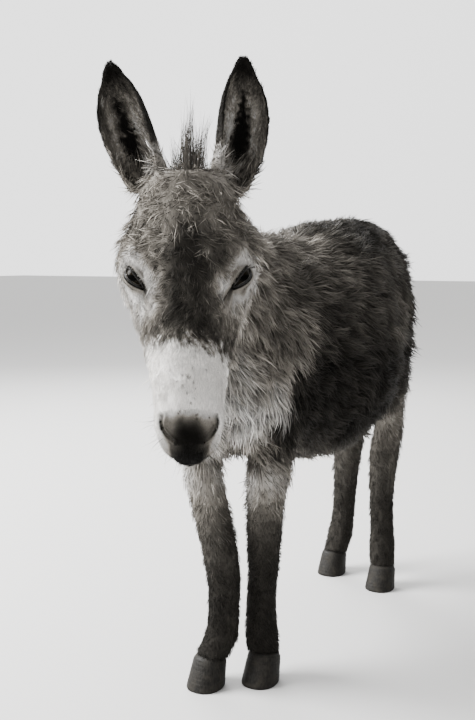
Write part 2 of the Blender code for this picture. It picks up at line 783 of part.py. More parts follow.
def forelock():
    """The tuft between the ears: spikes of hair grown together."""
    mesh = bmesh.new()
    for root, tip, radius in FORELOCK:
        low, high = beside_poll(*root), beside_poll(*tip)
        along = high - low
        side = along.cross(FORWARD).normalized()
        up = side.cross(along).normalized()
        rings = []
        for share, size in ((-0.15, 1.0), (0.25, 0.95), (0.6, 0.66), (1.0, 0.25)):
            width = radius * size
            rings.append(Ring(low + along * share, side, up, width, width, width))
        loft(mesh, rings, 12, 2)
    tuft = object_of("forelock_rough", mesh)
    fused = tuft.modifiers.new("fuse", "REMESH")
    fused.mode = "VOXEL"
    fused.voxel_size = 0.003
    fewer = tuft.modifiers.new("fewer faces", "DECIMATE")
    fewer.ratio = 0.040
    fewer.use_collapse_triangulate = True
    return baked(tuft, "forelock")


FEET = {
    "hoof_fore_right": (FORELEG_RIGHT, False, Vector()),
    "hoof_fore_left": (FORELEG_LEFT, False, Vector()),
    "hoof_hind_left": (HIND_LEG, False, HIND_LEFT_SHIFT),
    "hoof_hind_right": (HIND_LEG, True, HIND_RIGHT_SHIFT),
}


def foot_middle(name):
    """The middle of a foot at the top of its hoof."""
    slices, mirrored, shift = FEET[name]
    last = list(leg_rings(slices, mirrored, shift))[-1]
    return Vector((last.centre.x, last.centre.y, 0.0))


def coronet(name):
    """The plane between a pastern and its hoof, higher at the toe."""
    point = foot_middle(name) + UP * HOOF_HEIGHT
    return Region(point, -UP * 0.97 - BACK * 0.24, LEFT, 0.10, 0.115, 0.090)


def hoof(name):
    """A hoof up to the coronet."""
    middle = foot_middle(name)
    mesh = bmesh.new()
    rings = []
    for z, lateral, toe, heel in HOOF:
        centre = middle + UP * z - BACK * ((HOOF_HEIGHT - z) * 0.22)
        rings.append(Ring(centre, LEFT, -BACK, lateral, toe - 0.004, heel - 0.002, 2.0, 2.3))
    loft(mesh, rings, 12, 1)
    horn = object_of(name, mesh)
    keep = coronet(name).box("keep", -CUT)
    horn = cut(horn, keep, "INTERSECT")
    bpy.data.objects.remove(keep)
    return dress(horn, "hoof_horn")


# ---- parting --------------------------------------------------------------------------------------
HEAD_BEGINS = Region(
    beside_poll(0.0, -0.068, 0.830), FORWARD * 0.917 - UP * 0.399, HEAD_SIDE, 0.50, 0.56, 0.40
)
NECK_BEGINS = Region(
    Vector((0.05, -0.155, 0.742)), -BACK * 0.778 + UP * 0.628, LEFT, 0.60, 0.70, 0.60
)
TAIL_BEGINS = Region(Vector((0.0, 0.632, 0.60)), BACK, LEFT, 0.20, 0.64, 0.14)
SWITCH_BEGINS = Region(Vector((0.0, 0.66, 0.56)), -UP, LEFT, 0.40, 0.20, 0.20)
FORELEGS_BEGIN = Region(
    Vector((0.0, -0.110, 0.4185)), -UP * 0.9956 - BACK * 0.0935, LEFT, 0.50, 0.32, 0.50
)
HIND_LEGS_BEGIN = Region(
    Vector((0.0, 0.490, 0.4932)), -UP * 0.8537 + BACK * 0.5208, LEFT, 0.65, 0.72, 0.50
)


def dress(obj, slot):
    """Gives the object its one material."""
    obj.data.materials.clear()
    obj.data.materials.append(material(slot))
    return obj


def main():
    """Builds the donkey."""
    for obj in list(bpy.data.objects):
        bpy.data.objects.remove(obj, do_unlink=True)

    body = thinned(whole_body(), BODY_TRIANGLES)
    body = part_lips(open_nostrils(body))
    body, _ = set_eyes(body)

    outside = grown_copy(body, "outside", CLEARANCE)
    for ear in EARS:
        dress(cut(ear.build(), outside), "ear_coat")
    tuft = cut(forelock(), outside)
    ridge = cut(mane(), outside)
    tuft_outside = grown_copy(tuft, "tuft_outside", CLEARANCE)
    dress(cut(ridge, tuft_outside), "mane_hair")
    dress(tuft, "mane_hair")
    bpy.data.objects.remove(tuft_outside)
    bpy.data.objects.remove(outside)

    for name in FEET:
        lower = coronet(name).box("lower")
        body = cut(body, lower)
        bpy.data.objects.remove(lower)
        hoof(name)

    head, body = part_off(body, "head", HEAD_BEGINS)
    dress(head, "face_coat")
    tail, body = part_off(body, "tail_whole", TAIL_BEGINS)
    switch, dock = part_off(tail, "tail_switch", SWITCH_BEGINS)
    dress(switch, "mane_hair")
    dock.name = "tail_dock"
    dress(dock, "coat")
    forelegs, body = part_off(body, "forelegs", FORELEGS_BEGIN)
    hind_legs, body = part_off(body, "hind_legs", HIND_LEGS_BEGIN)
    neck, body = part_off(body, "neck", NECK_BEGINS)
    dress(neck, "coat")
    body.name = "trunk"
    dress(body, "coat")
    for pair, kind in ((forelegs, "fore"), (hind_legs, "hind")):
        names = {f"leg_{kind}_{side}": f"hoof_{kind}_{side}" for side in ("right", "left")}
        places = {leg: foot_middle(foot) + UP * 0.15 for leg, foot in names.items()}
        for leg in separate(pair, places).values():
            dress(leg, "leg_coat")

    settle()


def settle():
    """Moves everything so that the middle of the footprint is at the origin, in one collection."""
    nodes = list(bpy.data.objects)
    corners = np.array([v.co for obj in nodes for v in obj.data.vertices])
    low, high = corners.min(axis=0), corners.max(axis=0)
    middle = Vector(((low[0] + high[0]) / 2, (low[1] + high[1]) / 2, low[2]))
    donkey = bpy.data.collections.new("donkey")
    bpy.context.scene.collection.children.link(donkey)
    for obj in nodes:
        obj.data.transform(Matrix.Translation(-middle))
        obj.data.shade_smooth()
        obj.data.set_sharp_from_angle(angle=math.radians(40.0))
        bpy.context.scene.collection.objects.unlink(obj)
        donkey.objects.link(obj)
    return middle


if __name__ == "__main__":
    main()
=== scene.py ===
"""Dresses a young donkey: skin, coat, eyes, hooves, mane, forelock, tail and whiskers.

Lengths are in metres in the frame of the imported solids. The donkey stands along Y with its
head towards -Y, and its left side is towards +X.
"""

import logging
import math
from collections.abc import Iterable
from dataclasses import dataclass, field, replace
from enum import Enum

import bmesh
import bpy
import numpy as np
from mathutils import Matrix, Vector
from mathutils.bvhtree import BVHTree
from mathutils.kdtree import KDTree

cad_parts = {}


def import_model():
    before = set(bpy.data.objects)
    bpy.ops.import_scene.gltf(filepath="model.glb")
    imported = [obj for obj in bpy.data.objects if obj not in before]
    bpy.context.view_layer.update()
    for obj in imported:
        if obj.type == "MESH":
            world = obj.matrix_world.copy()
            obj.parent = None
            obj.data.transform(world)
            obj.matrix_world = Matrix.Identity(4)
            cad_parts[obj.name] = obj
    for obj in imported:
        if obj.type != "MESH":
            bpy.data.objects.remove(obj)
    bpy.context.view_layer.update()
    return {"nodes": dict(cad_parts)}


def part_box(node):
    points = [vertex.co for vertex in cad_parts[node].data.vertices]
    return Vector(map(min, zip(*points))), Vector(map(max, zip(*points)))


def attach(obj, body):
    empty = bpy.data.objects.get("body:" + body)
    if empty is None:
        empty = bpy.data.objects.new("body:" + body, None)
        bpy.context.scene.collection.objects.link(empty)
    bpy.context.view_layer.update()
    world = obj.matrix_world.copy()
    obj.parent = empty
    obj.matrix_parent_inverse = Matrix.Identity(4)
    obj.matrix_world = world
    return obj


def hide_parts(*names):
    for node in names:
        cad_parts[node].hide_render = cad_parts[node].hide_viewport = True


LOG = logging.getLogger("donkey")
BODY = "root"
TONE = "tone"  # the colour attribute that skin and coat share
BAKE_MAP = "OFBake"
HAIR_MAP = "hairs"
MILLIMETRE = 0.001
UP = np.array((0.0, 0.0, 1.0))

NOWHERE = (0.0, 0.0, 0.0)
SIDES = (1, -1)  # the donkey's left and right, as the sign of a distance to the left
FAR = 9.0  # metres, further off than anything on the donkey
NEVER_ZERO = 1e-12

Array = np.ndarray
Mesh = bpy.types.Mesh
Object = bpy.types.Object
Material = bpy.types.Material
Socket = bpy.types.NodeSocket


# ---- small tools ----
def eased(values: Array, low: float, high: float) -> Array:
    """0 below low, 1 above high, and a smooth step between them."""
    share = np.clip((np.asarray(values, float) - low) / (high - low), 0.0, 1.0)
    return share * share * (3.0 - 2.0 * share)


def hump(values: Array, middle: float, reach: float) -> Array:
    """A bell that is 1 at the middle and fades over the reach."""
    return np.exp(-(((np.asarray(values, float) - middle) / reach) ** 2))


def unit(vectors: Array) -> Array:
    """The vectors at length one."""
    return vectors / np.maximum(np.linalg.norm(vectors, axis=-1, keepdims=True), NEVER_ZERO)


def mixed(first: Array, second: Array, share: Array) -> Array:
    """First where share is 0, second where it is 1; either may be rows of three numbers."""
    share = np.asarray(share, float)
    if any(np.shape(value)[-1:] == (3,) for value in (first, second)):
        share = share[..., None]
    return first * (1.0 - share) + second * share


@dataclass(frozen=True)
class Stations:
    """Values at places along something, joined by straight lines."""

    places: tuple
    values: tuple

    def __call__(self, where: Array) -> Array:
        """The value at each place, level beyond the ends."""
        return np.interp(where, self.places, self.values)


def layered(base: Array, layers: Iterable[tuple[Array, Array]]) -> Array:
    """The base with each layer's value mixed over it by the layer's share."""
    for value, share in layers:
        base = mixed(base, value, share)
    return base


class Waves:
    """Smooth noise in space with a spread of about one, made of waves that cross."""

    COUNT = 20
    SIZES = (0.6, 1.7)  # how much finer or coarser a single wave may be

    def __init__(self, size: float, seed: int) -> None:
        """Draws the waves, with swells about that size apart."""
        rng = np.random.default_rng(seed)
        ways = unit(rng.normal(size=(self.COUNT, 3)))
        self.ways = ways * rng.uniform(*self.SIZES, (self.COUNT, 1)) * (2.0 * math.pi / size)
        self.starts = rng.uniform(0.0, 2.0 * math.pi, self.COUNT)

    def __call__(self, points: Array) -> Array:
        """The noise at each point."""
        total = np.zeros(len(points))
        for way, start in zip(self.ways, self.starts):
            total += np.sin(points @ way + start)
        return total * math.sqrt(2.0 / self.COUNT)


def path_points(path: Array, share: Array) -> Array:
    """Points at those shares of a path whose steps count alike."""
    knots = np.linspace(0.0, 1.0, len(path))
    return np.column_stack([np.interp(share, knots, line) for line in np.asarray(path).T])


def mesh_points(mesh: Mesh, what: str = "co") -> Array:
    """The vertices' places or normals as rows."""
    values = np.empty(len(mesh.vertices) * 3, np.float32)
    if what == "normal":
        mesh.vertex_normals.foreach_get("vector", values)
    else:
        mesh.vertices.foreach_get("co", values)
    return values.reshape(-1, 3).astype(float)


def mesh_triangles(mesh: Mesh) -> Array:
    """The corners of each triangle as rows of vertex numbers."""
    mesh.calc_loop_triangles()
    values = np.empty(len(mesh.loop_triangles) * 3, np.int32)
    mesh.loop_triangles.foreach_get("vertices", values)
    return values.reshape(-1, 3)


def linked(name: str, mesh: Mesh) -> Object:
    """A new object for the mesh, in the scene."""
    made = bpy.data.objects.new(name, mesh)
    bpy.context.scene.collection.objects.link(made)
    return made


def settled(obj: Object) -> Object:
    """The object with its modifiers' result as its plain mesh."""
    graph = bpy.context.evaluated_depsgraph_get()
    mesh = bpy.data.meshes.new_from_object(obj.evaluated_get(graph))
    old = obj.data
    obj.modifiers.clear()
    obj.data = mesh
    if old.users == 0 and isinstance(old, bpy.types.Mesh):
        bpy.data.meshes.remove(old)
    return obj


def move_points(mesh: Mesh, points: Array) -> None:
    """Puts the mesh's vertices at the points."""
    mesh.vertices.foreach_set("co", points.astype(np.float32).ravel())


def cloud(name: str, points: Array) -> Mesh:
    """A mesh of loose points."""
    mesh = bpy.data.meshes.new(name)
    mesh.vertices.add(len(points))
    move_points(mesh, points)
    return mesh


def smooth_faces(mesh: Mesh) -> None:
    """Shades every face smooth."""
    mesh.polygons.foreach_set("use_smooth", np.ones(len(mesh.polygons), bool))


def triangle_mesh(name: str, points: Array, faces: Array) -> Mesh:
    """A smooth-shaded mesh of triangles straight from arrays."""
    mesh = cloud(name, points)
    mesh.loops.add(faces.size)
    mesh.loops.foreach_set("vertex_index", faces.astype(np.int32).ravel())
    mesh.polygons.add(len(faces))
    mesh.polygons.foreach_set("loop_start", np.arange(0, faces.size, 3, dtype=np.int32))
    smooth_faces(mesh)
    mesh.update(calc_edges=True)
    return mesh


def taken_from(built: bmesh.types.BMesh, name: str) -> Mesh:
    """What was built as a mesh of that name; the builder's copy is freed."""
    mesh = bpy.data.meshes.new(name)
    built.to_mesh(mesh)
    built.free()
    return mesh


def set_tone(mesh: Mesh, colours: Array) -> None:
    """Stores a colour for each vertex."""
    rows = np.ones((len(colours), 4), np.float32)
    rows[:, :3] = colours
    mesh.attributes.new(TONE, "FLOAT_COLOR", "POINT").data.foreach_set("color", rows.ravel())


# ---- finishes ----
class Tree:
    """A node tree that is filled node by node."""

    def __init__(self, tree: bpy.types.NodeTree) -> None:
        """Takes the tree."""
        self.tree = tree

    def add(self, kind: str, inputs: dict | None = None, **settings: object) -> bpy.types.Node:
        """A new node.

        Args:
            kind: The node's type.
            inputs: What goes into each of its inputs: an output or a plain value.
            settings: The node's own properties.

        Returns:
            The node.
        """
        node = self.tree.nodes.new(kind)
        for key, value in settings.items():
            setattr(node, key, value)
        for key, value in (inputs or {}).items():
            self.feed(value, node.inputs[key])
        return node

    def feed(self, value: object, socket: Socket) -> None:
        """Gives an input another node's output or a plain value."""
        if isinstance(value, Socket):
            self.tree.links.new(value, socket)
        else:
            socket.default_value = value

    def times(self, first: object, second: object) -> Socket:
        """Two numbers multiplied."""
        return self.add("ShaderNodeMath", {0: first, 1: second}, operation="MULTIPLY").outputs[0]


class Nodes(Tree):
    """The node tree of one material."""

    def __init__(self, name: str) -> None:
        """Starts a material with only its output and shader."""
        self.material = bpy.data.materials.new(name)
        self.material.use_nodes = True
        super().__init__(self.material.node_tree)
        self.shader = self.tree.nodes["Principled BSDF"]

    def tone(self) -> Socket:
        """The colour that the mesh carries."""
        return self.add("ShaderNodeAttribute", attribute_name=TONE).outputs["Color"]

    def mapped(self, size: tuple, turn: tuple = NOWHERE, at: tuple = NOWHERE) -> Socket:
        """Object coordinates told from a place, turned, in units of that size."""
        where = self.add("ShaderNodeTexCoord").outputs["Object"]
        inputs = {"Vector": where, "Location": at, "Rotation": turn, "Scale": size}
        return self.add("ShaderNodeMapping", inputs, vector_type="TEXTURE").outputs["Vector"]

    def place(self, *scale: float, turn: tuple = NOWHERE) -> Socket:
        """Object coordinates, turned and then stretched along each axis."""
        return self.mapped(tuple(1.0 / s for s in scale), turn)

    def noise(self, vector: Socket, detail: float = 3.0, scale: float = 1.0) -> Socket:
        """The value of a noise texture."""
        inputs = {"Vector": vector, "Scale": scale, "Detail": detail}
        return self.add("ShaderNodeTexNoise", inputs).outputs["Fac"]

    def ramp(self, value: Socket, low: float, high: float, to: tuple = (0.0, 1.0)) -> Socket:
        """The value stretched from one range to another, clamped."""
        inputs = {"Value": value, "From Min": low, "From Max": high, "To Min": to[0], "To Max": to[1]}
        return self.add("ShaderNodeMapRange", inputs).outputs["Result"]

    def mix(self, share: object, first: object, second: object, way: str = "MIX") -> Socket:
        """Two colours mixed; each may be an output or a plain colour."""
        inputs = {0: share, 6: first, 7: second}
        return self.add("ShaderNodeMix", inputs, data_type="RGBA", blend_type=way).outputs[2]

    def shaded(self, colour: Socket, shade: Socket) -> Socket:
        """The colour times a shade."""
        return self.mix(1.0, colour, shade, "MULTIPLY")

    def bump(self, height: Socket, strength: float, distance: float) -> None:
        """Bends the shader's normal by a height."""
        node = self.add("ShaderNodeBump", {"Height": height, "Strength": strength, "Distance": distance})
        self.feed(node.outputs["Normal"], self.shader.inputs["Normal"])

    def done(self, colour: object, roughness: object, gloss: float) -> Material:
        """The material, once the shader has its colour, roughness and gloss."""
        for key, value in (("Base Color", colour), ("Roughness", roughness), ("Specular IOR Level", gloss)):
            self.feed(value, self.shader.inputs[key])
        return self.material


def grey(value: float, warmth: float = 1.0) -> tuple:
    """A warm grey as red, green, blue and alpha."""
    return (value * (1.0 + 0.09 * warmth), value, value * (1.0 - 0.13 * warmth), 1.0)


@dataclass(frozen=True)
class CoatFinish:
    """Hair in locks: the shared markings, streaked by single hairs."""

    name: str = "coat_hair"
    roughness: float = 0.62
    gloss: float = 0.06
    streaks: tuple = (5.0, 0.6, 1.0)  # across the lock, along it, and through it
    streak_depth: float = 0.35

    def material(self) -> Material:
        """The material, with streaks that run along each lock."""
        n = Nodes(self.name)
        hairs = n.add("ShaderNodeUVMap", uv_map=HAIR_MAP).outputs["UV"]
        stretch = n.add("ShaderNodeMapping", {"Vector": hairs, "Scale": self.streaks})
        streak = n.noise(stretch.outputs["Vector"], 2.0)
        shade = n.ramp(streak, 0.3, 0.7, (1.0 - self.streak_depth, 1.0 + self.streak_depth))
        n.bump(streak, 0.4, 0.0006)
        return n.done(n.shaded(n.tone(), shade), self.roughness, self.gloss)


@dataclass(frozen=True)
class SkinFinish:
    """Skin and the short hair that lies flat on it."""

    name: str = "short_hair_and_skin"
    roughness: float = 0.78
    gloss: float = 0.02
    hairs: tuple = (900.0, 900.0, 110.0)  # to the metre across the face, out of it and along it
    hair_shades: tuple = (0.72, 1.22)
    patches: tuple = (55.0, 55.0, 55.0)
    patch_shades: tuple = (0.88, 1.12)

    def material(self, turn: tuple) -> Material:
        """The material, with short hairs as bump.

        Args:
            turn: The turn that brings the noise's long way along the face.

        Returns:
            The material.
        """
        n = Nodes(self.name)
        hairs = n.noise(n.place(*self.hairs, turn=turn))
        patches = n.noise(n.place(*self.patches))
        n.bump(hairs, 0.55, 0.0009)
        colour = n.shaded(n.tone(), n.ramp(hairs, 0.3, 0.7, self.hair_shades))
        colour = n.shaded(colour, n.ramp(patches, 0.3, 0.7, self.patch_shades))
        return n.done(colour, self.roughness, self.gloss)


@dataclass(frozen=True)
class HornFinish:
    """Hoof horn, streaked from the coronet down and ringed by growth."""

    name: str = "hoof_horn"
    dark: float = 0.006
    light: float = 0.019
    dust: float = 0.032
    roughness: tuple = (0.45, 0.75)
    gloss: float = 0.12

    def material(self) -> Material:
        """The material."""
        n = Nodes(self.name)
        streak = n.noise(n.place(420.0, 420.0, 22.0))
        rings = n.noise(n.place(12.0, 12.0, 260.0), 2.0)
        dirt = n.noise(n.place(60.0, 60.0, 60.0), 5.0)
        base = n.mix(n.ramp(streak, 0.35, 0.7), grey(self.dark), grey(self.light))
        base = n.mix(n.ramp(dirt, 0.45, 0.75, (0.0, 0.6)), base, grey(self.dust, 1.5))
        height = n.add("ShaderNodeMath", {0: streak, 1: rings}, operation="ADD")
        n.bump(height.outputs[0], 0.5, 0.0012)
        return n.done(base, n.ramp(dirt, 0.3, 0.7, self.roughness), self.gloss)


@dataclass(frozen=True)
class EyeFinish:
    """A wet dark eye with a level pupil in a brown iris. Edges are shares of the ball's radius."""

    name: str
    centre: tuple
    turn: tuple
    radius: float
    pupil_squash: tuple = (0.62, 1.35)  # across and upwards
    pupil_edge: tuple = (0.30, 0.36)
    iris_edge: tuple = (0.66, 0.78)
    white_edge: tuple = (0.90, 0.99)
    pupil: tuple = grey(0.001)
    iris: tuple = (grey(0.003, 2.5), grey(0.012, 3.0))
    limbus: tuple = grey(0.004, 2.0)
    white: tuple = grey(0.02, 2.0)
    roughness: float = 0.05
    gloss: float = 0.02

    def material(self) -> Material:
        """The material."""
        n = Nodes(self.name)
        where = n.mapped((self.radius,) * 3, self.turn, self.centre)
        apart = n.add("ShaderNodeSeparateXYZ", {0: where})
        gap = self.distance(n, apart, (1.0, 1.0))
        base = n.mix(n.ramp(n.noise(where, 4.0, 9.0), 0.35, 0.7), *self.iris)
        pupil_gap = self.distance(n, apart, self.pupil_squash)
        base = n.mix(n.ramp(pupil_gap, *self.pupil_edge), self.pupil, base)
        base = n.mix(n.ramp(gap, *self.iris_edge), base, self.limbus)
        base = n.mix(n.ramp(gap, *self.white_edge), base, self.white)
        return n.done(base, self.roughness, self.gloss)

    @staticmethod
    def distance(n: Nodes, apart: bpy.types.Node, squash: tuple) -> Socket:
        """How far a point is from the line of gaze, once squashed across and upwards."""
        flat = {i: n.times(apart.outputs[i], factor) for i, factor in enumerate(squash)}
        flat = n.add("ShaderNodeCombineXYZ", flat).outputs[0]
        return n.add("ShaderNodeVectorMath", {0: flat}, operation="LENGTH").outputs["Value"]


@dataclass(frozen=True)
class LidFinish:
    """What is fine and dark about the eyes: a lid's bare rim, its wet edge, or a stiff hair."""

    name: str = "eyelid_rim"
    shade: float = 0.006
    roughness: float = 0.36
    gloss: float = 0.20
    contrast: float = 2.2

    def material(self) -> Material:
        """The material, finely wrinkled."""
        n = Nodes(self.name)
        wrinkles = n.noise(n.place(900.0, 900.0, 900.0))
        n.bump(wrinkles, 0.4, 0.0004)
        base = n.mix(wrinkles, grey(self.shade), grey(self.shade * self.contrast))
        return n.done(base, self.roughness, self.gloss)


@dataclass(frozen=True)
class FloorFinish:
    """A plain pale studio floor."""

    name: str = "pale_floor"
    shade: tuple = grey(0.55, 0.1)
    roughness: float = 0.85
    gloss: float = 0.1

    def material(self) -> Material:
        """The material."""
        return Nodes(self.name).done(self.shade, self.roughness, self.gloss)


# ---- the frames of the head and ears ----
@dataclass(frozen=True)
class HeadFrame:
    """Directions and measures of the head, found from the two eyes."""

    length: float = 0.446  # from the poll to the lips
    pitch: float = math.radians(25.0)  # how far the face leans from upright
    eye_along: float = 0.391
    eye_front: float = -0.030
    side: Array = field(init=False)
    forward: Array = field(init=False)
    down: Array = field(init=False)
    front: Array = field(init=False)
    poll: Array = field(init=False)
    eyes: dict = field(init=False)

    def __post_init__(self) -> None:
        """Reads the eyes' places and works the directions out."""
        eyes = {}
        for s, name in ((1, "eye_left"), (-1, "eye_right")):
            low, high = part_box(name)
            eyes[s] = (np.array(low) + np.array(high)) / 2.0
        side = unit(eyes[1] - eyes[-1])
        forward = unit(np.cross(side, UP))
        sine, cosine = math.sin(self.pitch), math.cos(self.pitch)
        down = forward * sine - UP * cosine
        front = forward * cosine + UP * sine
        middle = (eyes[1] + eyes[-1]) / 2.0
        poll = middle - down * (self.eye_along * self.length) - front * self.eye_front
        found = dict(side=side, forward=forward, down=down, front=front, poll=poll, eyes=eyes)
        for key, value in found.items():
            object.__setattr__(self, key, value)

    def place(self, along: float, side: float, front: float) -> Array:
        """A point by its share of the head's length, then metres to the left and out of the face."""
        move = self.down * (along * self.length) + self.side * side + self.front * front
        return self.poll + move

    def path(self, ends: Iterable[tuple], s: int) -> Array:
        """Points given as for place, on the left where s is 1 and mirrored where it is -1."""
        return np.array([self.place(along, s * side, front) for along, side, front in ends])

    def measure(self, points: Array) -> tuple[Array, Array, Array]:
        """Each point's share along the head, metres to the left and metres out of the face."""
        away = points - self.poll
        return away @ self.down / self.length, away @ self.side, away @ self.front

    def turn(self) -> tuple:
        """The turn that brings Z along the head."""
        basis = np.column_stack((self.side, np.cross(self.down, self.side), self.down))
        return tuple(matrix_of(basis).to_euler("XYZ"))


def matrix_of(basis: Array) -> Matrix:
    """A 3x3 array as a Blender matrix."""
    return Matrix([list(map(float, row)) for row in basis])


@dataclass(frozen=True)
class EarFrame:
    """The line and opening of one ear, told from the poll."""

    s: int
    root: Array
    tip: Array
    opening: Array
    bow: float  # how far the middle bows outwards from the straight line

    ROOT_HEIGHT = 0.918
    BEHIND_POLL = 0.030
    OPENS = (0.95, 0.31)  # how much ahead and how much outwards

    @classmethod
    def beside(cls, head: HeadFrame, s: int, root: float, tip: float, height: float,
               bow: float) -> "EarFrame":
        """An ear by how far its root and tip stand beside the poll, and its tip's height."""
        level = head.poll * (1.0, 1.0, 0.0) - head.forward * cls.BEHIND_POLL
        low = level + head.side * (s * root) + UP * cls.ROOT_HEIGHT
        high = level + head.side * (s * tip) + UP * height
        opening = unit(head.forward * cls.OPENS[0] + head.side * (s * cls.OPENS[1]))
        return cls(s, low, high, opening, bow)

    def measure(self, points: Array) -> tuple[Array, Array, Array]:
        """Each point's share up the ear, metres across it and metres towards its opening."""
        straight = self.tip - self.root
        size = np.linalg.norm(straight)
        along = straight / size
        facing = unit(self.opening - along * (self.opening @ along))
        across = np.cross(along, facing)
        away = points - self.root
        share = away @ along / size
        bowed = 4.0 * share * (1.0 - share) * self.bow
        return share, away @ across - bowed, away @ facing


# by the share up the ear: half its width, then the groove's half width and middle as shares of that
EAR_WIDTH = Stations((0.0, 0.13, 0.27, 0.41, 0.55, 0.68, 0.80, 0.90, 0.965, 1.0),
                     (0.027, 0.033, 0.0365, 0.0375, 0.0375, 0.0348, 0.0275, 0.0165, 0.0085, 0.004))
GROOVE_WIDTH = Stations((0.22, 0.30, 0.40, 0.50, 0.62, 0.74, 0.82),
                        (0.12, 0.33, 0.36, 0.27, 0.17, 0.11, 0.03))
GROOVE_MIDDLE = Stations((0.15, 0.33, 0.50, 0.74), (-0.34, -0.27, -0.17, -0.24))


class Part(Enum):
    """The parts of the skin that the coat is kept by, and the nodes of each."""

    TRUNK = ("trunk",)
    NECK = ("neck",)
    HEAD = ("head",)
    EARS = ("ear_left", "ear_right")
    FORELEGS = ("leg_fore_left", "leg_fore_right")
    HIND_LEGS = ("leg_hind_left", "leg_hind_right")
    DOCK = ("tail_dock",)


FLESH = tuple(name for part in Part for name in part.value)


class Anatomy:
    """Says of any point which part of the donkey it belongs to, and how its hair lies."""

    SOFTNESS = 0.016  # how far two parts run into each other

    def __init__(self) -> None:
        """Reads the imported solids."""
        self.head = HeadFrame()
        self.ears = (
            EarFrame.beside(self.head, -1, root=0.053, tip=0.1165, height=1.101, bow=-0.009),
            EarFrame.beside(self.head, 1, root=0.060, tip=0.0860, height=1.113, bow=0.012),
        )
        self.trees = {part: [self.tree(name) for name in part.value] for part in Part}

    @staticmethod
    def tree(name: str) -> BVHTree:
        """A search tree over one solid's faces."""
        mesh = bpy.data.objects[name].data
        points = [v.co for v in mesh.vertices]
        return BVHTree.FromPolygons(points, [tuple(p.vertices) for p in mesh.polygons])

    def weights(self, points: Array) -> dict[Part, Array]:
        """How much each point belongs to each part; the weights sum to one."""
        gaps = {}
        for part, trees in self.trees.items():
            gap = np.full(len(points), FAR)
            for tree in trees:
                found = [tree.find_nearest(p)[3] for p in points.tolist()]
                gap = np.minimum(gap, np.array(found, float))
            gaps[part] = gap
        least = np.min(list(gaps.values()), axis=0)
        raw = {part: np.exp(-(gap - least) / self.SOFTNESS) for part, gap in gaps.items()}
        total = np.sum(list(raw.values()), axis=0)
        return {part: value / total for part, value in raw.items()}

    def ear_of(self, points: Array) -> Array:
        """The number in self.ears of the ear that is nearer."""
        gaps = [np.linalg.norm(points - (e.root + e.tip) / 2.0, axis=1) for e in self.ears]
        return (gaps[1] < gaps[0]).astype(int)


@dataclass
class Fields:
    """What is known at each vertex of the skin."""

    points: Array
    normals: Array
    weights: dict[Part, Array]
    along: Array
    side: Array
    front: Array
    ear_up: Array
    ear_across: Array
    ear_inside: Array
    ear_poll: Array  # across the ear: 1 at the edge by the poll, -1 at the outer edge
    rim: Array

    @classmethod
    def of(cls, anatomy: Anatomy, points: Array, normals: Array) -> "Fields":
        """Measures the points."""
        weights = anatomy.weights(points)
        along, side, front = anatomy.head.measure(points)
        which = anatomy.ear_of(points)
        up, across, inside, sign = np.zeros((4, len(points)))
        for i, ear in enumerate(anatomy.ears):
            at = which == i
            up[at], across[at], _ = ear.measure(points[at])
            inside[at] = eased(normals[at] @ ear.opening, -0.05, 0.35)
            sign[at] = -ear.s
        across = across / EAR_WIDTH(up)
        rim = eased(np.abs(across), 0.80, 0.98) + eased(up, 0.92, 0.98)
        return cls(points, normals, weights, along, side, front, up, across, inside,
                   across * sign, np.clip(rim, 0.0, 1.0))

    def ear_groove(self) -> Array:
        """1 in the deep groove of each ear."""
        up = self.ear_up
        middle = GROOVE_MIDDLE(up) + 0.07 * Waves(0.012, 33)(self.points)
        groove = 1.0 - eased(np.abs(self.ear_poll - middle) / GROOVE_WIDTH(up), 0.45, 1.45)
        return groove * eased(up, 0.20, 0.28) * (1.0 - eased(up, 0.72, 0.82)) * self.ear_inside

    def ear_folds(self) -> Array:
        """1 on the two swellings that flank the groove."""
        up = self.ear_up
        near = hump(self.ear_poll, 0.34, 0.22) + 0.8 * hump(self.ear_poll, -0.64, 0.13)
        return near * eased(up, 0.24, 0.36) * (1.0 - eased(up, 0.62, 0.80)) * self.ear_inside

    def part(self) -> Array:
        """The number of the part that each vertex mostly belongs to."""
        return np.argmax([self.weights[part] for part in Part], axis=0)


# ---- markings ----
# by the share along the head: the dark patch's half width, how dark the nose is down its middle and
# on its flanks, and how wide the dark is there
FACE_PATCH = Stations((0.20, 0.28, 0.36, 0.42, 0.48, 0.54, 0.60, 0.70),
                      (0.026, 0.036, 0.048, 0.046, 0.044, 0.068, 0.080, 0.070))
NOSE_RIDGE = Stations((0.830, 0.850, 0.872, 0.902), (0.0, 0.20, 0.60, 1.0))
NOSE_FLANK = Stations((0.830, 0.850, 0.872, 0.902, 0.928, 0.955), (0.0, 0.12, 0.28, 0.46, 0.80, 1.0))
NOSE_WIDTH = Stations((0.84, 0.88, 0.905, 0.925, 0.95, 1.0),
                      (0.0385, 0.0380, 0.0330, 0.0275, 0.0270, 0.0250))
EYE_PATCHES = (
    # share along the head and its reach, metres to the side and their reach
    (0.480, 0.045, 0.057, 0.014),  # under the eye
    (0.315, 0.030, 0.084, 0.014),  # on the brow
    (0.425, 0.030, 0.046, 0.009),  # at the inner corner
)


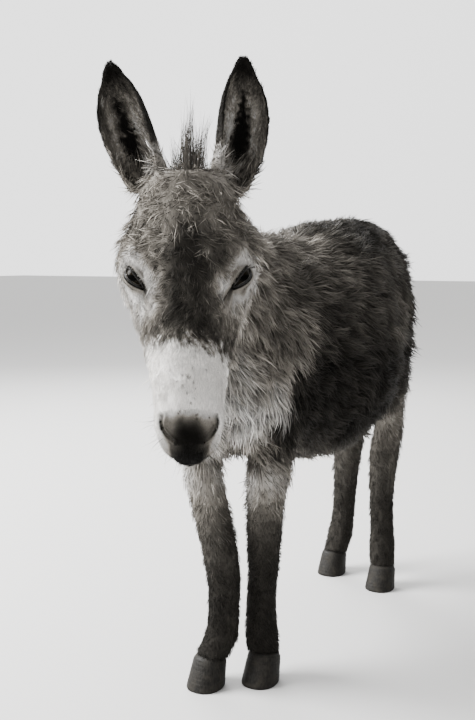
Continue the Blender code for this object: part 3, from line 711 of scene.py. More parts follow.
@dataclass(frozen=True)
class Markings:
    """The coat's greys, dun with a pale muzzle, chest and legs, dark ears and a dark nose; the forelegs' pale
    tops and dark lower parts are partly painted light and shade, and the barrel's dark is partly painted
    shade.
    """

    # the barrel's dark grey is partly painted shade of the side turned from the light
    barrel_with_painted_shade: float = 0.016
    flank: float = 0.056
    back: float = 0.036
    withers: float = 0.155
    rump: float = 0.022
    belly: float = 0.085
    neck: float = 0.145
    chest: float = 0.400
    forehead: float = 0.112
    face_middle: float = 0.024
    cheek: float = 0.260
    eye_ring: float = 0.560
    muzzle: float = 0.820
    nose: float = 0.004
    nose_side: float = 0.140
    ear_out: float = 0.120
    ear_in: float = 0.090
    ear_fold: float = 0.300
    ear_base: float = 0.400
    ear_edge: float = 0.010
    # near black in the ears' grooves: dark bare skin and painted shade deep in the groove
    ear_groove: float = 0.004
    freckle: float = 0.10
    # the grey along the muzzle's fold lines is painted shade in the creases
    muzzle_fold_painted_shade: float = 0.30
    lip: float = 0.30
    range: tuple = (0.003, 0.86)  # the darkest and the lightest that hair may be
    muzzle_edge: float = 0.612  # where the pale muzzle starts, as a share along the head
    edge_slant: float = 0.30  # how much that grows to each metre to the left
    edge_straying: float = 0.012
    edge_softness: tuple = (0.042, 0.036)  # above the edge and below it
    swells: tuple = (0.16, 0.035)  # the sizes of the broad and the fine mottle
    mottle: float = 0.16
    ripple: tuple = (0.055, 0.22)  # its size on the trunk, and how strong it is
    # the forelegs' grey by height: pale high up, partly painted sunlight on the upper leg, and dark below the
    # knee, partly painted shade
    foreleg: Stations = Stations((0.20, 0.29, 0.34, 0.40, 0.47), (0.017, 0.040, 0.115, 0.500, 0.680))
    hind_leg: Stations = Stations((0.22, 0.33, 0.42, 0.50), (0.022, 0.060, 0.130, 0.150))

    def tones(self, at: Fields, head: HeadFrame) -> Array:
        """The colour of hair and skin at each vertex.

        Args:
            at: What is known of the vertices.
            head: The head's frame.

        Returns:
            Rows of red, green and blue.
        """
        broad, fine = Waves(self.swells[0], 11)(at.points), Waves(self.swells[1], 12)(at.points)
        w, z = at.weights, at.points[:, 2]
        tone = (
            self.trunk(at, broad) * w[Part.TRUNK]
            + mixed(np.full(len(z), self.neck), self.chest, eased(-z, -0.72, -0.60)) * w[Part.NECK]
            + self.face(at, head) * w[Part.HEAD]
            + self.ear(at) * w[Part.EARS]
            + self.foreleg(z) * w[Part.FORELEGS]
            + mixed(self.hind_leg(z), self.rump, eased(z, 0.50, 0.64)) * w[Part.HIND_LEGS]
            + self.rump * w[Part.DOCK]
        )
        plain = eased(tone, 0.30, 0.6)
        tone = tone * np.exp((self.mottle * broad + self.mottle * fine) * (1.0 - 0.9 * plain))
        ripple = Waves(self.ripple[0], 13)(at.points * (1.0, 1.7, 0.7))
        tone = tone * np.exp(self.ripple[1] * ripple * (w[Part.TRUNK] + 0.5 * w[Part.NECK]))
        tone = np.clip(tone, *self.range)
        return np.stack(grey(tone, 1.0 - 0.7 * eased(tone, 0.15, 0.5))[:3], axis=1)

    def trunk(self, at: Fields, broad: Array) -> Array:
        """The greys of the trunk, laid over the barrel's, whose dark is partly painted shade of the side
        turned from the light.
        """
        _, y, z = at.points.T
        ahead = -y + 0.02 * broad
        return layered(np.full(len(z), self.barrel_with_painted_shade), (
            (self.flank, eased(z, 0.60, 0.72)),
            (self.back, eased(z, 0.76, 0.86)),
            (self.withers, eased(z, 0.74, 0.84) * eased(-y, -0.16, 0.0)),
            (self.rump, eased(y, 0.30, 0.55) * eased(z, 0.5, 0.7)),
            (self.belly, eased(-z, -0.47, -0.39)),
            (self.neck, eased(ahead, 0.12, 0.19) * eased(z, 0.60, 0.68)),
            (self.chest, eased(ahead, 0.160, 0.235) * eased(-z, -0.70, -0.56)),
        ))

    def face(self, at: Fields, head: HeadFrame) -> Array:
        """The greys of the head."""
        along, side, points = at.along, at.side, at.points
        ragged, blotch = Waves(0.014, 21)(points), Waves(0.045, 22)(points)
        tone = mixed(np.full(len(along), self.forehead), self.cheek, eased(-at.front, 0.02, 0.06))
        tone = tone * np.exp(-0.8 * hump(along, 0.10, 0.05) * hump(side, 0.0, 0.020))
        across, half = np.abs(side), FACE_PATCH(along)
        strokes = np.exp(0.22 * blotch + 0.12 * ragged)
        middle = (1.0 - eased(across * strokes / half, 0.60, 1.30)) * eased(along + 0.02 * blotch, 0.18, 0.30)
        tone = mixed(tone, self.face_middle * (1.0 + 1.6 * eased(across / half, 0.2, 0.9)), middle)
        for eye in EyeFrame.both(head):
            tone = mixed(tone, self.eye_ring, 0.85 * hump(eye.gap(points), 0.031, 0.008))
            under, brow, inner = (
                hump(along, place, reach) * hump(side, eye.s * out, width)
                for place, reach, out, width in EYE_PATCHES
            )
            tone = mixed(tone, self.eye_ring, np.clip(0.95 * under + 0.7 * (brow + inner), 0.0, 0.95))
        edge = self.muzzle_edge + self.edge_slant * side + self.edge_straying * ragged
        edge += self.edge_straying * Waves(0.007, 23)(points)
        pale = eased(along, edge - self.edge_softness[0], edge + self.edge_softness[1])
        tone = np.exp(mixed(np.log(tone), math.log(self.muzzle), pale))
        tone = mixed(tone, self.freckle, self.freckles(at, head) * (1.0 - eased(along, 0.86, 0.89)))
        # painted shade along the lines of the muzzle's folds
        for path in muzzle_folds(head):
            tone = mixed(tone, self.muzzle_fold_painted_shade, 0.6 * hump(path_gap(points, path), 0.0, 0.0028))
        dark = self.nose_shade(along, across, ragged)
        tone = np.exp(mixed(np.log(tone), math.log(self.nose), dark))
        tone = mixed(tone, self.lip, eased(along, 0.88, 0.94) * (1.0 - dark) * (at.front < -0.030))
        return mixed(tone, self.nose_side, eased(along, 0.84, 0.92) * eased(-at.front, 0.080, 0.092))

    @staticmethod
    def nose_shade(along: Array, across: Array, ragged: Array) -> Array:
        """1 on the dark end of the nose."""
        grained = along + 0.002 * ragged
        dark = mixed(NOSE_RIDGE(grained), NOSE_FLANK(grained), eased(across, 0.006, 0.026))
        wing = NOSE_WIDTH(along)
        return dark * (1.0 - eased(across, wing - 0.002, wing + 0.004))

    @staticmethod
    def freckles(at: Fields, head: HeadFrame, count: int = 22, seed: int = 24) -> Array:
        """1 on the small dark spots of the pale nose."""
        rng = np.random.default_rng(seed)
        found = np.zeros(len(at.along))
        for _ in range(count):
            along, side = rng.uniform(0.69, 0.87), rng.normal(0.002, 0.013)
            gap = np.hypot((at.along - along) * head.length, at.side - side)
            found = np.maximum(found, 1.0 - eased(gap, 0.0007, rng.uniform(0.0014, 0.0024)))
        return found * (at.front > -0.045)

    def ear(self, at: Fields) -> Array:
        """The greys of the ears."""
        up, poll = at.ear_up, at.ear_poll
        streak = Waves(0.011, 31)(at.points * (1.0, 1.0, 0.3))
        speck = Waves(0.0055, 32)(at.points)
        outside = mixed(np.full(len(up), self.ear_out), self.ear_edge, at.rim)
        inside = layered(self.ear_in * np.exp(0.40 * streak + 0.40 * speck), (
            (self.ear_fold * np.exp(0.3 * speck), at.ear_folds()),
            # the groove near black, partly painted shade
            (self.ear_groove, at.ear_groove()),
            (self.ear_edge, eased(at.rim, 0.1, 0.8)),
        ))
        tone = mixed(outside, inside, at.ear_inside)
        tone = mixed(tone, self.ear_edge, eased(up + 0.02 * streak, 0.76, 0.92))
        top = 0.20 + 0.14 * np.clip(poll, -0.5, 0.6) + 0.02 * streak
        return mixed(tone, self.ear_base, eased(top - up, -0.05, 0.04) * eased(poll, -0.6, -0.25))


# ---- the skin ----
BARE_SKIN = np.array((0.006, 0.0055, 0.005))
# millimetres under the tips of the coat
TRUNK_DEPTH, NECK_DEPTH, EAR_DEPTH, DOCK_DEPTH = 17.0, 14.0, 1.1, 6.0
BEHIND_FACE_DEPTH, EYE_DEPTH = 8.0, 0.8
# the same, by the share along the head and by the leg's height
FACE_DEPTH = Stations((0.0, 0.15, 0.30, 0.40, 0.55, 0.66, 0.80, 0.93, 1.0),
                      (10.0, 11.0, 7.0, 4.0, 3.0, 2.0, 1.2, 1.2, 5.5))
LEG_DEPTH = Stations((0.05, 0.10, 0.30, 0.42, 0.55), (2.0, 3.0, 4.5, 9.0, 14.0))
# millimetres over the ball, by the degrees outside the eye's opening
LID_HEIGHT = Stations((-8.0, -2.0, 0.5, 7.0, 11.0, 15.0, 26.0), (-5.0, -3.0, 1.5, 2.8, 2.5, 3.6, 5.0))


@dataclass(frozen=True)
class EyeFrame:
    """Where one eye sits and how its lids open. Angles are in degrees round the ball."""

    s: int
    centre: Array
    gaze: Array
    slit: Array
    over: Array
    radius: float = 0.0205
    reach: float = 64.0
    upper: float = 23.0
    lower: float = 11.0
    lower_lean: float = 12.0  # how much lower the lower lid is at the outer corner than at the inner

    @classmethod
    def of(cls, head: HeadFrame, s: int) -> "EyeFrame":
        """The eye of one side, with its corners told from its middle."""
        centre = head.eyes[s] + head.front * 0.0040 + head.side * (s * 0.0035) - head.down * 0.0040
        back = unit(head.down * -0.70 + head.side * (s * 0.70) + head.front * 0.15)
        ahead = unit(head.down * 0.87 + head.side * (s * -0.42) + head.front * 0.21)
        gaze = unit(back + ahead)
        slit = unit(ahead - back)
        over = np.cross(gaze, slit)
        over = over if over @ UP > 0 else -over
        return cls(s, centre, gaze, slit, over)

    @classmethod
    def both(cls, head: HeadFrame) -> list["EyeFrame"]:
        """The left eye and the right."""
        return [cls.of(head, s) for s in SIDES]

    def gap(self, points: Array) -> Array:
        """How far each point is from the middle of the eye."""
        return np.linalg.norm(points - self.centre, axis=1)

    def angles(self, points: Array) -> tuple[Array, Array, Array]:
        """Each point's angles along and above the slit, and its distance from the middle."""
        away = points - self.centre
        size = np.linalg.norm(away, axis=-1)
        ways = away / np.maximum(size, 1e-9)[..., None]
        above = np.degrees(np.arcsin(np.clip(ways @ self.over, -1, 1)))
        along = np.degrees(np.arctan2(ways @ self.slit, ways @ self.gaze))
        return along, above, size

    def lids(self, along: Array) -> tuple[Array, Array]:
        """The angles above the slit of the upper and the lower lid."""
        share = np.clip(np.abs(along) / self.reach, 0.0, 1.0)
        lean = np.clip(along / self.reach, -1.0, 1.0)
        arch = 1.0 - share**2
        return arch**0.75 * self.upper, -(arch**0.7) * (self.lower - self.lower_lean * lean)

    def outside(self, along: Array, above: Array) -> Array:
        """How many degrees outside the opening a direction is; negative is inside."""
        high, low = self.lids(along)
        beyond = np.maximum(np.abs(along) - self.reach, 0.0)
        gap = np.maximum(above - high, low - above)
        return np.where(beyond > 0, np.hypot(beyond, above), gap)

    def tear_gap(self, head: HeadFrame, points: Array) -> Array:
        """How far each point is from the groove that runs down from the inner corner."""
        return self.groove_gap(points, (-4, -1), head.place(0.478, self.s * 0.0530, 0.001), 0.0014)

    def crease_gap(self, head: HeadFrame, points: Array) -> Array:
        """How far each point is from the fold that runs back from the outer corner."""
        return self.groove_gap(points, (3, 0), head.place(0.334, self.s * 0.1010, -0.036), 0.0006)

    def groove_gap(self, points: Array, knots: tuple, end: Array, taper: float) -> Array:
        """How far each point is from a groove along the lid's edge and on to a place on the skin."""
        edge = self.lid_path(True, 0.002)
        return path_gap(points, np.array([*(edge[k] for k in knots), self.on_skin(points, end)]), taper)

    @staticmethod
    def on_skin(points: Array, place: Array) -> Array:
        """The point that is nearest to a place."""
        return points[np.argmin(np.linalg.norm(points - place, axis=1))]

    def lid_path(self, upper: bool, lift: float, count: int = 41, wider: float = 0.0) -> Array:
        """Points along one lid's edge, that far above the ball."""
        along = np.linspace(-self.reach, self.reach, count)
        high, low = self.lids(along)
        above = high + wider if upper else low - wider
        a, b = np.radians(along), np.radians(above)
        ways = np.cos(b)[:, None] * (np.cos(a)[:, None] * self.gaze + np.sin(a)[:, None] * self.slit)
        ways += np.sin(b)[:, None] * self.over
        return self.centre + ways * (self.radius + lift)


@dataclass
class Skin:
    """One closed skin under the coat, with sockets, lids, nostrils and lips."""

    anatomy: Anatomy
    voxel: float = 0.0028
    closing: float = 0.0006  # how far the solids are grown so that their gaps close
    body_smoothing: int = 34
    head_smoothing: int = 9
    triangles: int = 150000  # before the faces round the eyes, nostrils and lips are split
    round_eyes: float = 0.036  # how far from each eye the faces are split
    round_nostrils: float = 0.0085
    eye_shrink: float = -0.001  # how the eyes' solids are grown, to leave a socket
    # how far the sculpting moves the skin
    nostril_depth: float = 0.013
    nostril_rim: float = 0.0021
    mouth_line: float = 0.0034
    lip_roll: float = 0.0014
    nose_dent: float = 0.0016
    fold_line: float = 0.0024
    fold_swelling: float = 0.0011
    tear_groove: float = 0.0018
    brow_ridge: float = 0.0045
    ear_fold: float = 0.0035
    ear_groove: float = 0.0030
    ear_tip: float = 0.0030
    chin_narrowing: float = 0.24  # a share of the width
    piece: Object = field(init=False)
    fields: Fields = field(init=False)
    tones: Array = field(init=False)

    SMOOTHING = 0.5  # how far one round of smoothing goes
    THINNING = 4.0  # how much more the body is thinned than the head
    LEVELS = 10  # of the body's border with the head

    def build(self) -> Object:
        """Makes the skin and returns it."""
        self.gather()
        self.smooth_and_thin()
        self.refine()
        self.inset()
        self.sculpt()
        return self.piece

    def gather(self) -> None:
        """Joins the solids of flesh, slightly grown, into one closed surface."""
        whole = bmesh.new()
        for name in (*FLESH, "eye_left", "eye_right"):
            part = bmesh.new()
            part.from_mesh(bpy.data.objects[name].data)
            bmesh.ops.remove_doubles(part, verts=part.verts, dist=1e-6)
            part.normal_update()
            by = self.closing if name in FLESH else self.eye_shrink
            for v in part.verts:
                v.co += v.normal * by
            mesh = taken_from(part, "grown")
            whole.from_mesh(mesh)
            bpy.data.meshes.remove(mesh)
        self.piece = linked("skin", taken_from(whole, "flesh"))
        fused = self.piece.modifiers.new("fuse", "REMESH")
        fused.mode = "VOXEL"
        fused.voxel_size = self.voxel
        settled(self.piece)

    def on_head(self, points: Array) -> Array:
        """1 on the head and ears, 0 on the body, with a soft border behind the jaw."""
        along, _, front = self.anatomy.head.measure(points)
        ears = eased(points[:, 2], 0.945, 0.965) * (points[:, 1] < -0.36)
        return np.maximum(eased(front, -0.22, -0.18) * (along > -0.10) * (points[:, 1] < -0.30), ears)

    def smooth_and_thin(self) -> None:
        """Rounds the facets off and leaves fewer, larger faces under the long coat."""
        points = mesh_points(self.piece.data)
        head = self.on_head(points)
        group = self.piece.vertex_groups.new(name="body")
        levels = np.round((1.0 - head) * self.LEVELS).astype(int)
        for level in range(1, self.LEVELS + 1):
            group.add(np.flatnonzero(levels == level).tolist(), level / self.LEVELS, "REPLACE")
        for name, rounds, only_body in (("all", self.head_smoothing, False),
                                        ("body", self.body_smoothing, True)):
            smooth = self.piece.modifiers.new(name, "SMOOTH")
            smooth.factor = self.SMOOTHING
            smooth.iterations = rounds
            if only_body:
                smooth.vertex_group = group.name
        fewer = self.piece.modifiers.new("fewer", "DECIMATE")
        fewer.ratio = self.triangles / (2.0 * len(self.piece.data.polygons))
        fewer.vertex_group = group.name
        fewer.vertex_group_factor = self.THINNING
        fewer.use_collapse_triangulate = True
        settled(self.piece)
        LOG.info("skin thinned to %d faces", len(self.piece.data.polygons))

    def refine(self) -> None:
        """Splits the faces round the eyes, nostrils and lips."""
        head = self.anatomy.head
        mesh = bmesh.new()
        mesh.from_mesh(self.piece.data)
        points = np.array([v.co for v in mesh.verts])
        along, _, front = head.measure(points)
        near = (along > 0.80) & (front > -0.12) & (points[:, 2] > 0.50)
        for s in SIDES:
            near |= np.linalg.norm(points - head.eyes[s], axis=1) < self.round_eyes
        self.split(mesh, near)
        points = np.array([v.co for v in mesh.verts])
        near = np.min([nostril_gap(head, points, s) for s in SIDES], axis=0) < self.round_nostrils
        self.split(mesh, near)
        mesh.to_mesh(self.piece.data)
        mesh.free()
        self.piece.vertex_groups.clear()

    @staticmethod
    def split(mesh: bmesh.types.BMesh, near: Array) -> None:
        """Halves the edges between the chosen vertices."""
        edges = [e for e in mesh.edges if near[e.verts[0].index] and near[e.verts[1].index]]
        bmesh.ops.subdivide_edges(mesh, edges=edges, cuts=1, smooth=0.0)
        bmesh.ops.triangulate(mesh, faces=mesh.faces)
        mesh.verts.index_update()

    def depth(self, at: Fields) -> Array:
        """How far the skin lies under the tips of the coat."""
        w, z = at.weights, at.points[:, 2]
        behind = eased(-at.front, 0.06, 0.12) * (at.along < 0.6)
        face = mixed(FACE_DEPTH(at.along), BEHIND_FACE_DEPTH, behind)
        face = face * (1.0 - 0.65 * eased(np.abs(at.side), 0.066, 0.084) * hump(at.along, 0.32, 0.13))
        lower = LEG_DEPTH(z)
        deep = (
            TRUNK_DEPTH * w[Part.TRUNK] + NECK_DEPTH * w[Part.NECK] + face * w[Part.HEAD]
            + EAR_DEPTH * w[Part.EARS] + lower * (w[Part.FORELEGS] + w[Part.HIND_LEGS])
            + DOCK_DEPTH * w[Part.DOCK]
        )
        for eye in EyeFrame.both(self.anatomy.head):
            deep = mixed(EYE_DEPTH, deep, eased(eye.gap(at.points), 0.028, 0.050))
        return deep * MILLIMETRE

    def inset(self) -> None:
        """Draws the skin in by the depth of the coat."""
        mesh = self.piece.data
        points, normals = mesh_points(mesh), mesh_points(mesh, "normal")
        at = Fields.of(self.anatomy, points, normals)
        move_points(mesh, points - normals * self.depth(at)[:, None])
        mesh.update()
        self.fields = at

    def sculpt(self) -> None:
        """Shapes the eyelids, nostrils, lips, chin and the insides of the ears."""
        mesh = self.piece.data
        points, normals = mesh_points(mesh), mesh_points(mesh, "normal")
        points = self.chin(points)
        for eye in EyeFrame.both(self.anatomy.head):
            points = self.eyelids(points, eye)
            points = self.nostril(points, normals, eye.s)
        points = self.lips(points, normals)
        at = self.fields
        push = self.ear_fold * at.ear_folds() - self.ear_groove * at.ear_groove()
        push = push + self.ear_tip * eased(at.ear_up, 0.86, 0.97)
        move_points(mesh, points + normals * (push * at.weights[Part.EARS])[:, None])
        mesh.update()
        at.points, at.normals = mesh_points(mesh), mesh_points(mesh, "normal")
        at.along, at.side, at.front = self.anatomy.head.measure(at.points)

    def chin(self, points: Array) -> Array:
        """Narrows the lips towards the chin, and brings the brows out."""
        head = self.anatomy.head
        along, side, front = head.measure(points)
        share = self.chin_narrowing * eased(along, 0.895, 0.965) * (front > -0.14) * (points[:, 2] > 0.45)
        share = side * share - self.brow_ridge * np.sign(side) * self.brow(along, side)
        return points - head.side * share[:, None]

    @staticmethod
    def brow(along: Array, side: Array) -> Array:
        """1 on the ridge of bone over each eye."""
        return hump(along, 0.33, 0.07) * eased(np.abs(side), 0.060, 0.080) * (along < 0.6)

    def eyelids(self, points: Array, eye: EyeFrame) -> Array:
        """Lays the skin over the ball as lids and takes it inside the ball at the opening."""
        along, above, size = eye.angles(points)
        gap = eye.outside(along, above)
        wanted = eye.radius + LID_HEIGHT(gap) * MILLIMETRE
        facing = (points - eye.centre) @ eye.gaze > -0.010
        hold = (1.0 - eased(gap, 12.0, 38.0)) * facing * (size < 0.060)
        target = mixed(size, wanted, hold)
        away = points - eye.centre
        laid = eye.centre + away * (target / np.maximum(size, 1e-9))[:, None]
        sunk = self.tear_groove * (1.0 - eased(eye.tear_gap(self.anatomy.head, laid), 0.0015, 0.0045))
        return laid - self.anatomy.head.front * sunk[:, None]

    def nostril(self, points: Array, normals: Array, s: int) -> Array:
        """Opens one comma-shaped nostril inside a raised rim."""
        head = self.anatomy.head
        gap = nostril_gap(head, points, s)
        inward = unit(head.side * (-s * 0.85) - head.front * 0.45 - head.down * 0.25)
        depth = self.nostril_depth * (1.0 - eased(gap, 0.0012, 0.0042))
        rim = self.nostril_rim * hump(gap, 0.0064, 0.0022)
        return points + inward * depth[:, None] + normals * rim[:, None]

    def lips(self, points: Array, normals: Array) -> Array:
        """Draws the line of the mouth, rolls the lips and dents the nose's middle."""
        along, side, front = self.anatomy.head.measure(points)
        reach = np.hypot(side, (along - 0.840) * self.anatomy.head.length)
        line = front + 0.076 + 0.04 * reach
        here = eased(along, 0.80, 0.84)
        push = -self.mouth_line * hump(line, 0.0, 0.0022)
        push = push + self.lip_roll * hump(np.abs(line), 0.0065, 0.0035)
        middle = hump(side, 0.0, 0.004)
        push -= self.nose_dent * middle * eased(along, 0.89, 0.93) * eased(front, -0.07, -0.05)
        folds = np.zeros(len(points))
        for path in muzzle_folds(self.anatomy.head):
            gap = path_gap(points, path)
            folds += self.fold_swelling * hump(gap, 0.0042, 0.0022) - self.fold_line * hump(gap, 0.0, 0.0020)
        return points + normals * (push * here + folds)[:, None]

    def dress(self, markings: Markings) -> None:
        """Colours the skin and puts it in place of the solids of flesh."""
        self.tones = self.dark_places(markings.tones(self.fields, self.anatomy.head))
        mesh = self.piece.data
        set_tone(mesh, self.tones)
        smooth_faces(mesh)
        mesh.materials.clear()
        mesh.materials.append(SkinFinish().material(self.anatomy.head.turn()))
        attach(self.piece, BODY)
        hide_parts(*FLESH)

    def dark_places(self, tones: Array) -> Array:
        """Darkens the bare skin of the lids, tear ducts, the folds at the eyes' outer corners and the
        nostrils, and the ears' grooves, whose dark is partly painted shade.
        """
        head, points = self.anatomy.head, self.fields.points
        dark = np.zeros(len(points))
        for eye in EyeFrame.both(head):
            along, above, size = eye.angles(points)
            lids = (1.0 - eased(eye.outside(along, above), 7.0, 13.0)) * (size < 0.034)
            tears = 0.97 * (1.0 - eased(eye.tear_gap(head, points), 0.0026, 0.0050))
            crease = 0.95 * (1.0 - eased(eye.crease_gap(head, points), 0.0012, 0.0030))
            nostril = 1.0 - eased(nostril_gap(head, points, eye.s), 0.0030, 0.0044)
            dark = np.max((dark, lids, tears, crease, nostril), axis=0)
        # the ears' grooves take the bare skin's dark, partly as painted shade in the recess
        dark = np.maximum(dark, self.fields.ear_groove() * self.fields.weights[Part.EARS])
        return mixed(tones, BARE_SKIN, dark)


NOSTRIL = (
    # share along the head, metres to the side, metres out of the face
    (0.847, 0.0375, -0.0200),
    (0.866, 0.0385, -0.0255),
    (0.884, 0.0368, -0.0285),
    (0.905, 0.0305, -0.0285),
    (0.922, 0.0225, -0.0283),
)
MUZZLE_FOLDS = (
    ((0.700, 0.0400, -0.018), (0.770, 0.0405, -0.018), (0.835, 0.0430, -0.019)),
    ((0.720, 0.0470, -0.030), (0.790, 0.0470, -0.031), (0.870, 0.0475, -0.036)),
)


def path_gap(points: Array, path: Array, taper: float = 0.0) -> Array:
    """How far each point is from a path of straight steps, plus the taper times its share along."""
    gap = np.full(len(points), FAR)
    for i, (a, b) in enumerate(zip(path, path[1:])):
        way = b - a
        share = np.clip((points - a) @ way / (way @ way), 0.0, 1.0)
        extra = taper * (i + share) / (len(path) - 1)
        gap = np.minimum(gap, np.linalg.norm(points - a - share[:, None] * way, axis=1) + extra)
    return gap


def muzzle_folds(head: HeadFrame) -> list[Array]:
    """The paths of the folds on both sides of the muzzle."""
    return [head.path(ends, s) for s in SIDES for ends in MUZZLE_FOLDS]


def nostril_gap(head: HeadFrame, points: Array, s: int) -> Array:
    """How far each point is from one nostril's line, as if the line thinned downwards."""
    return path_gap(points, head.path(NOSTRIL, s), 0.0018)


# ---- the coat ----
@dataclass
class Locks:
    """A bunch of tapered locks of hair, given lock by lock, that becomes one mesh."""

    roots: Array
    normals: Array
    ways: Array
    lengths: Array
    widths: Array
    lifts: Array  # degrees between the surface and the lock at its root
    bends: Array  # how much of its length the tip sinks back
    tones: Array
    unwrap: Array  # the root's place on the unwrapped skin
    pulls: Array  # how far the tip is drawn aside
    # contrasts also set how much painted shade darkens each lock's root
    contrasts: Array  # how much darker the root is than the tip, 0 for none
    steps: tuple = (0.0, 0.5)  # where along the lock its rings are
    fullness: tuple = (0.85, 0.95)
    embed: float = 0.0015
    flatness: float = 0.55
    tip_light: float = 1.22
    # how dark each lock is at its root, as painted shade deep in the coat
    painted_root_shade: float = 0.45
    patch: float = 0.003
    seed: int = 5

    CORNERS = (90.0, 210.0, 330.0)  # degrees round the lock
    HALF = 0.58  # from the middle to a corner, as a share of the width
    TWIST = 0.5  # radians that a lock may be turned
    WAVE = 0.035  # of its length that a lock may wave aside

    def some(self, chosen: Array, seed: int) -> "Locks":
        """The chosen locks as a bunch of their own."""
        arrays = {key: value[chosen] for key, value in vars(self).items() if isinstance(value, Array)}
        return replace(self, **arrays, seed=seed)

    def middles(self, step: float) -> Array:
        """Where each lock's middle line is at one share of its length."""
        lifts, lengths = np.radians(self.lifts)[:, None], self.lengths[:, None]
        at = self.roots - self.normals * (self.embed if step == 0.0 else 0.0)
        at = at + self.ways * (lengths * step * np.cos(lifts))
        at = at + self.normals * (lengths * (np.sin(lifts) * step - self.bends[:, None] * step**2))
        return at + self.pulls * step**1.5

    def mesh(self, name: str) -> Mesh:
        """The locks as three-sided tapered prisms, closed at the root."""
        count, rings = len(self.roots), len(self.steps)
        rng = np.random.default_rng(self.seed)
        side = unit(np.cross(self.ways, self.normals))
        twist = rng.normal(0.0, self.TWIST, count)[:, None]
        flat = unit(side * np.cos(twist) + self.normals * np.sin(twist))
        thick = unit(np.cross(flat, self.ways))
        wave = rng.normal(0.0, self.WAVE, count)[:, None] * self.lengths[:, None]
        rows, shades = [], []
        for step, full in zip((*self.steps, 1.0), (*self.fullness, 0.0)):
            at = self.middles(step) + side * (wave * math.sin(math.pi * 1.3 * step))
            # each ring's grey: painted shade at the root, lighter towards the tip
            shades.append(self.painted_root_shade + (self.tip_light - self.painted_root_shade) * min(1.0, step * 1.15))
            if full == 0.0:
                rows.append(at[:, None])
                continue
            corners = []
            for turn in self.CORNERS:
                c, s = math.cos(math.radians(turn)), math.sin(math.radians(turn))
                out = flat * (c * self.HALF) + thick * (s * self.HALF * self.flatness)
                corners.append(at + out * (self.widths * full)[:, None])
            rows.append(np.stack(corners, axis=1))
        points = np.concatenate(rows, axis=1)
        each = points.shape[1]
        pattern, spots = self.pattern(rings)
        faces = (np.arange(count)[:, None, None] * each + pattern[None]).reshape(-1, 3)
        mesh = triangle_mesh(name, points.reshape(-1, 3), faces)
        shade = np.repeat(np.array(shades), [3] * rings + [1]) - 1.0
        shade = 1.0 + shade[None] * self.contrasts[:, None]
        set_tone(mesh, (self.tones[:, None, :] * shade[:, :, None]).reshape(-1, 3))
        self.add_map(mesh, BAKE_MAP, self.unwrap[:, None, None] + (spots - 0.5)[None] * self.patch)
        luck = rng.uniform(0.0, 40.0, (count, 1, 1, 2))
        self.add_map(mesh, HAIR_MAP, spots[None] + luck)
        return mesh

    @staticmethod
    def pattern(rings: int) -> tuple[Array, Array]:
        """The faces of one lock, and each corner's place on its patch."""
        faces, spots = [], []
        across = (0.0, 0.5, 1.0)
        tip = rings * 3
        for k in range(rings):
            low, high = k / rings, (k + 1) / rings
            for j in range(3):
                i = (j + 1) % 3
                a, b = k * 3 + j, k * 3 + i
                if k + 1 == rings:
                    faces.append((a, b, tip))
                    spots.append(((across[j], low), (across[i], low), (0.5 * (across[j] + across[i]), 1.0)))
                    continue
                c, d = a + 3, b + 3
                faces += [(a, b, d), (a, d, c)]
                spots.append(((across[j], low), (across[i], low), (across[i], high)))
                spots.append(((across[j], low), (across[i], high), (across[j], high)))
        faces.append((0, 2, 1))
        spots.append(((0.0, 0.0), (1.0, 0.0), (0.5, 0.08)))
        return np.array(faces), np.array(spots)

    @staticmethod
    def add_map(mesh: Mesh, name: str, places: Array) -> None:
        """Adds a UV map with a place for each face corner."""
        layer = mesh.uv_layers.new(name=name)
        layer.uv.foreach_set("vector", np.ascontiguousarray(places, np.float32).ravel())


@dataclass(frozen=True)
class Growth:
    """How thickly one part of the skin is haired and how its locks stand."""

    count: int
    lift: float
    bend: float
    clump: float  # across one clump of locks
    pull: float  # how far tips in a clump lean together
    mottle: float  # how much one lock's grey differs from the next
    frost: float  # how much lighter the odd pale lock is
    pieces: int


GROWTHS = {
    Part.TRUNK: Growth(54000, 24.0, 0.20, 0.026, 0.42, 0.18, 0.3, 3),
    Part.NECK: Growth(17500, 24.0, 0.20, 0.022, 0.40, 0.18, 0.3, 1),
    Part.HEAD: Growth(36000, 28.0, 0.20, 0.014, 0.50, 0.34, 1.1, 2),
    Part.EARS: Growth(12000, 18.0, 0.15, 0.008, 0.35, 0.30, 0.6, 1),
    Part.FORELEGS: Growth(12000, 18.0, 0.18, 0.014, 0.45, 0.18, 0.4, 1),
    Part.HIND_LEGS: Growth(11500, 18.0, 0.18, 0.018, 0.45, 0.18, 0.4, 1),
    Part.DOCK: Growth(1500, 20.0, 0.20, 0.016, 0.40, 0.18, 0.0, 1),
}


# metres of hair
BARREL_HAIR, BACK_HAIR, NECK_HAIR, DOCK_HAIR, EYELID_HAIR = 0.041, 0.030, 0.037, 0.022, 0.0040
EAR_OUTSIDE_HAIR, EAR_INSIDE_HAIR, EAR_EDGE_HAIR, EAR_BASE_HAIR = 0.0065, 0.0085, 0.0045, 0.030
# the same, by the share along the head down its front and over the cheek, and by a leg's height
FACE_HAIR = Stations((0.0, 0.15, 0.28, 0.38, 0.50, 0.60, 0.68, 0.80, 0.88, 1.0),
                     (0.026, 0.030, 0.025, 0.018, 0.014, 0.0110, 0.0065, 0.0028, 0.0022, 0.0020))
CHEEK_HAIR = Stations((0.0, 0.3, 0.6, 0.8), (0.024, 0.022, 0.012, 0.005))
LEG_HAIR = Stations((0.05, 0.09, 0.30, 0.42, 0.55, 0.7), (0.011, 0.011, 0.014, 0.024, 0.034, 0.036))
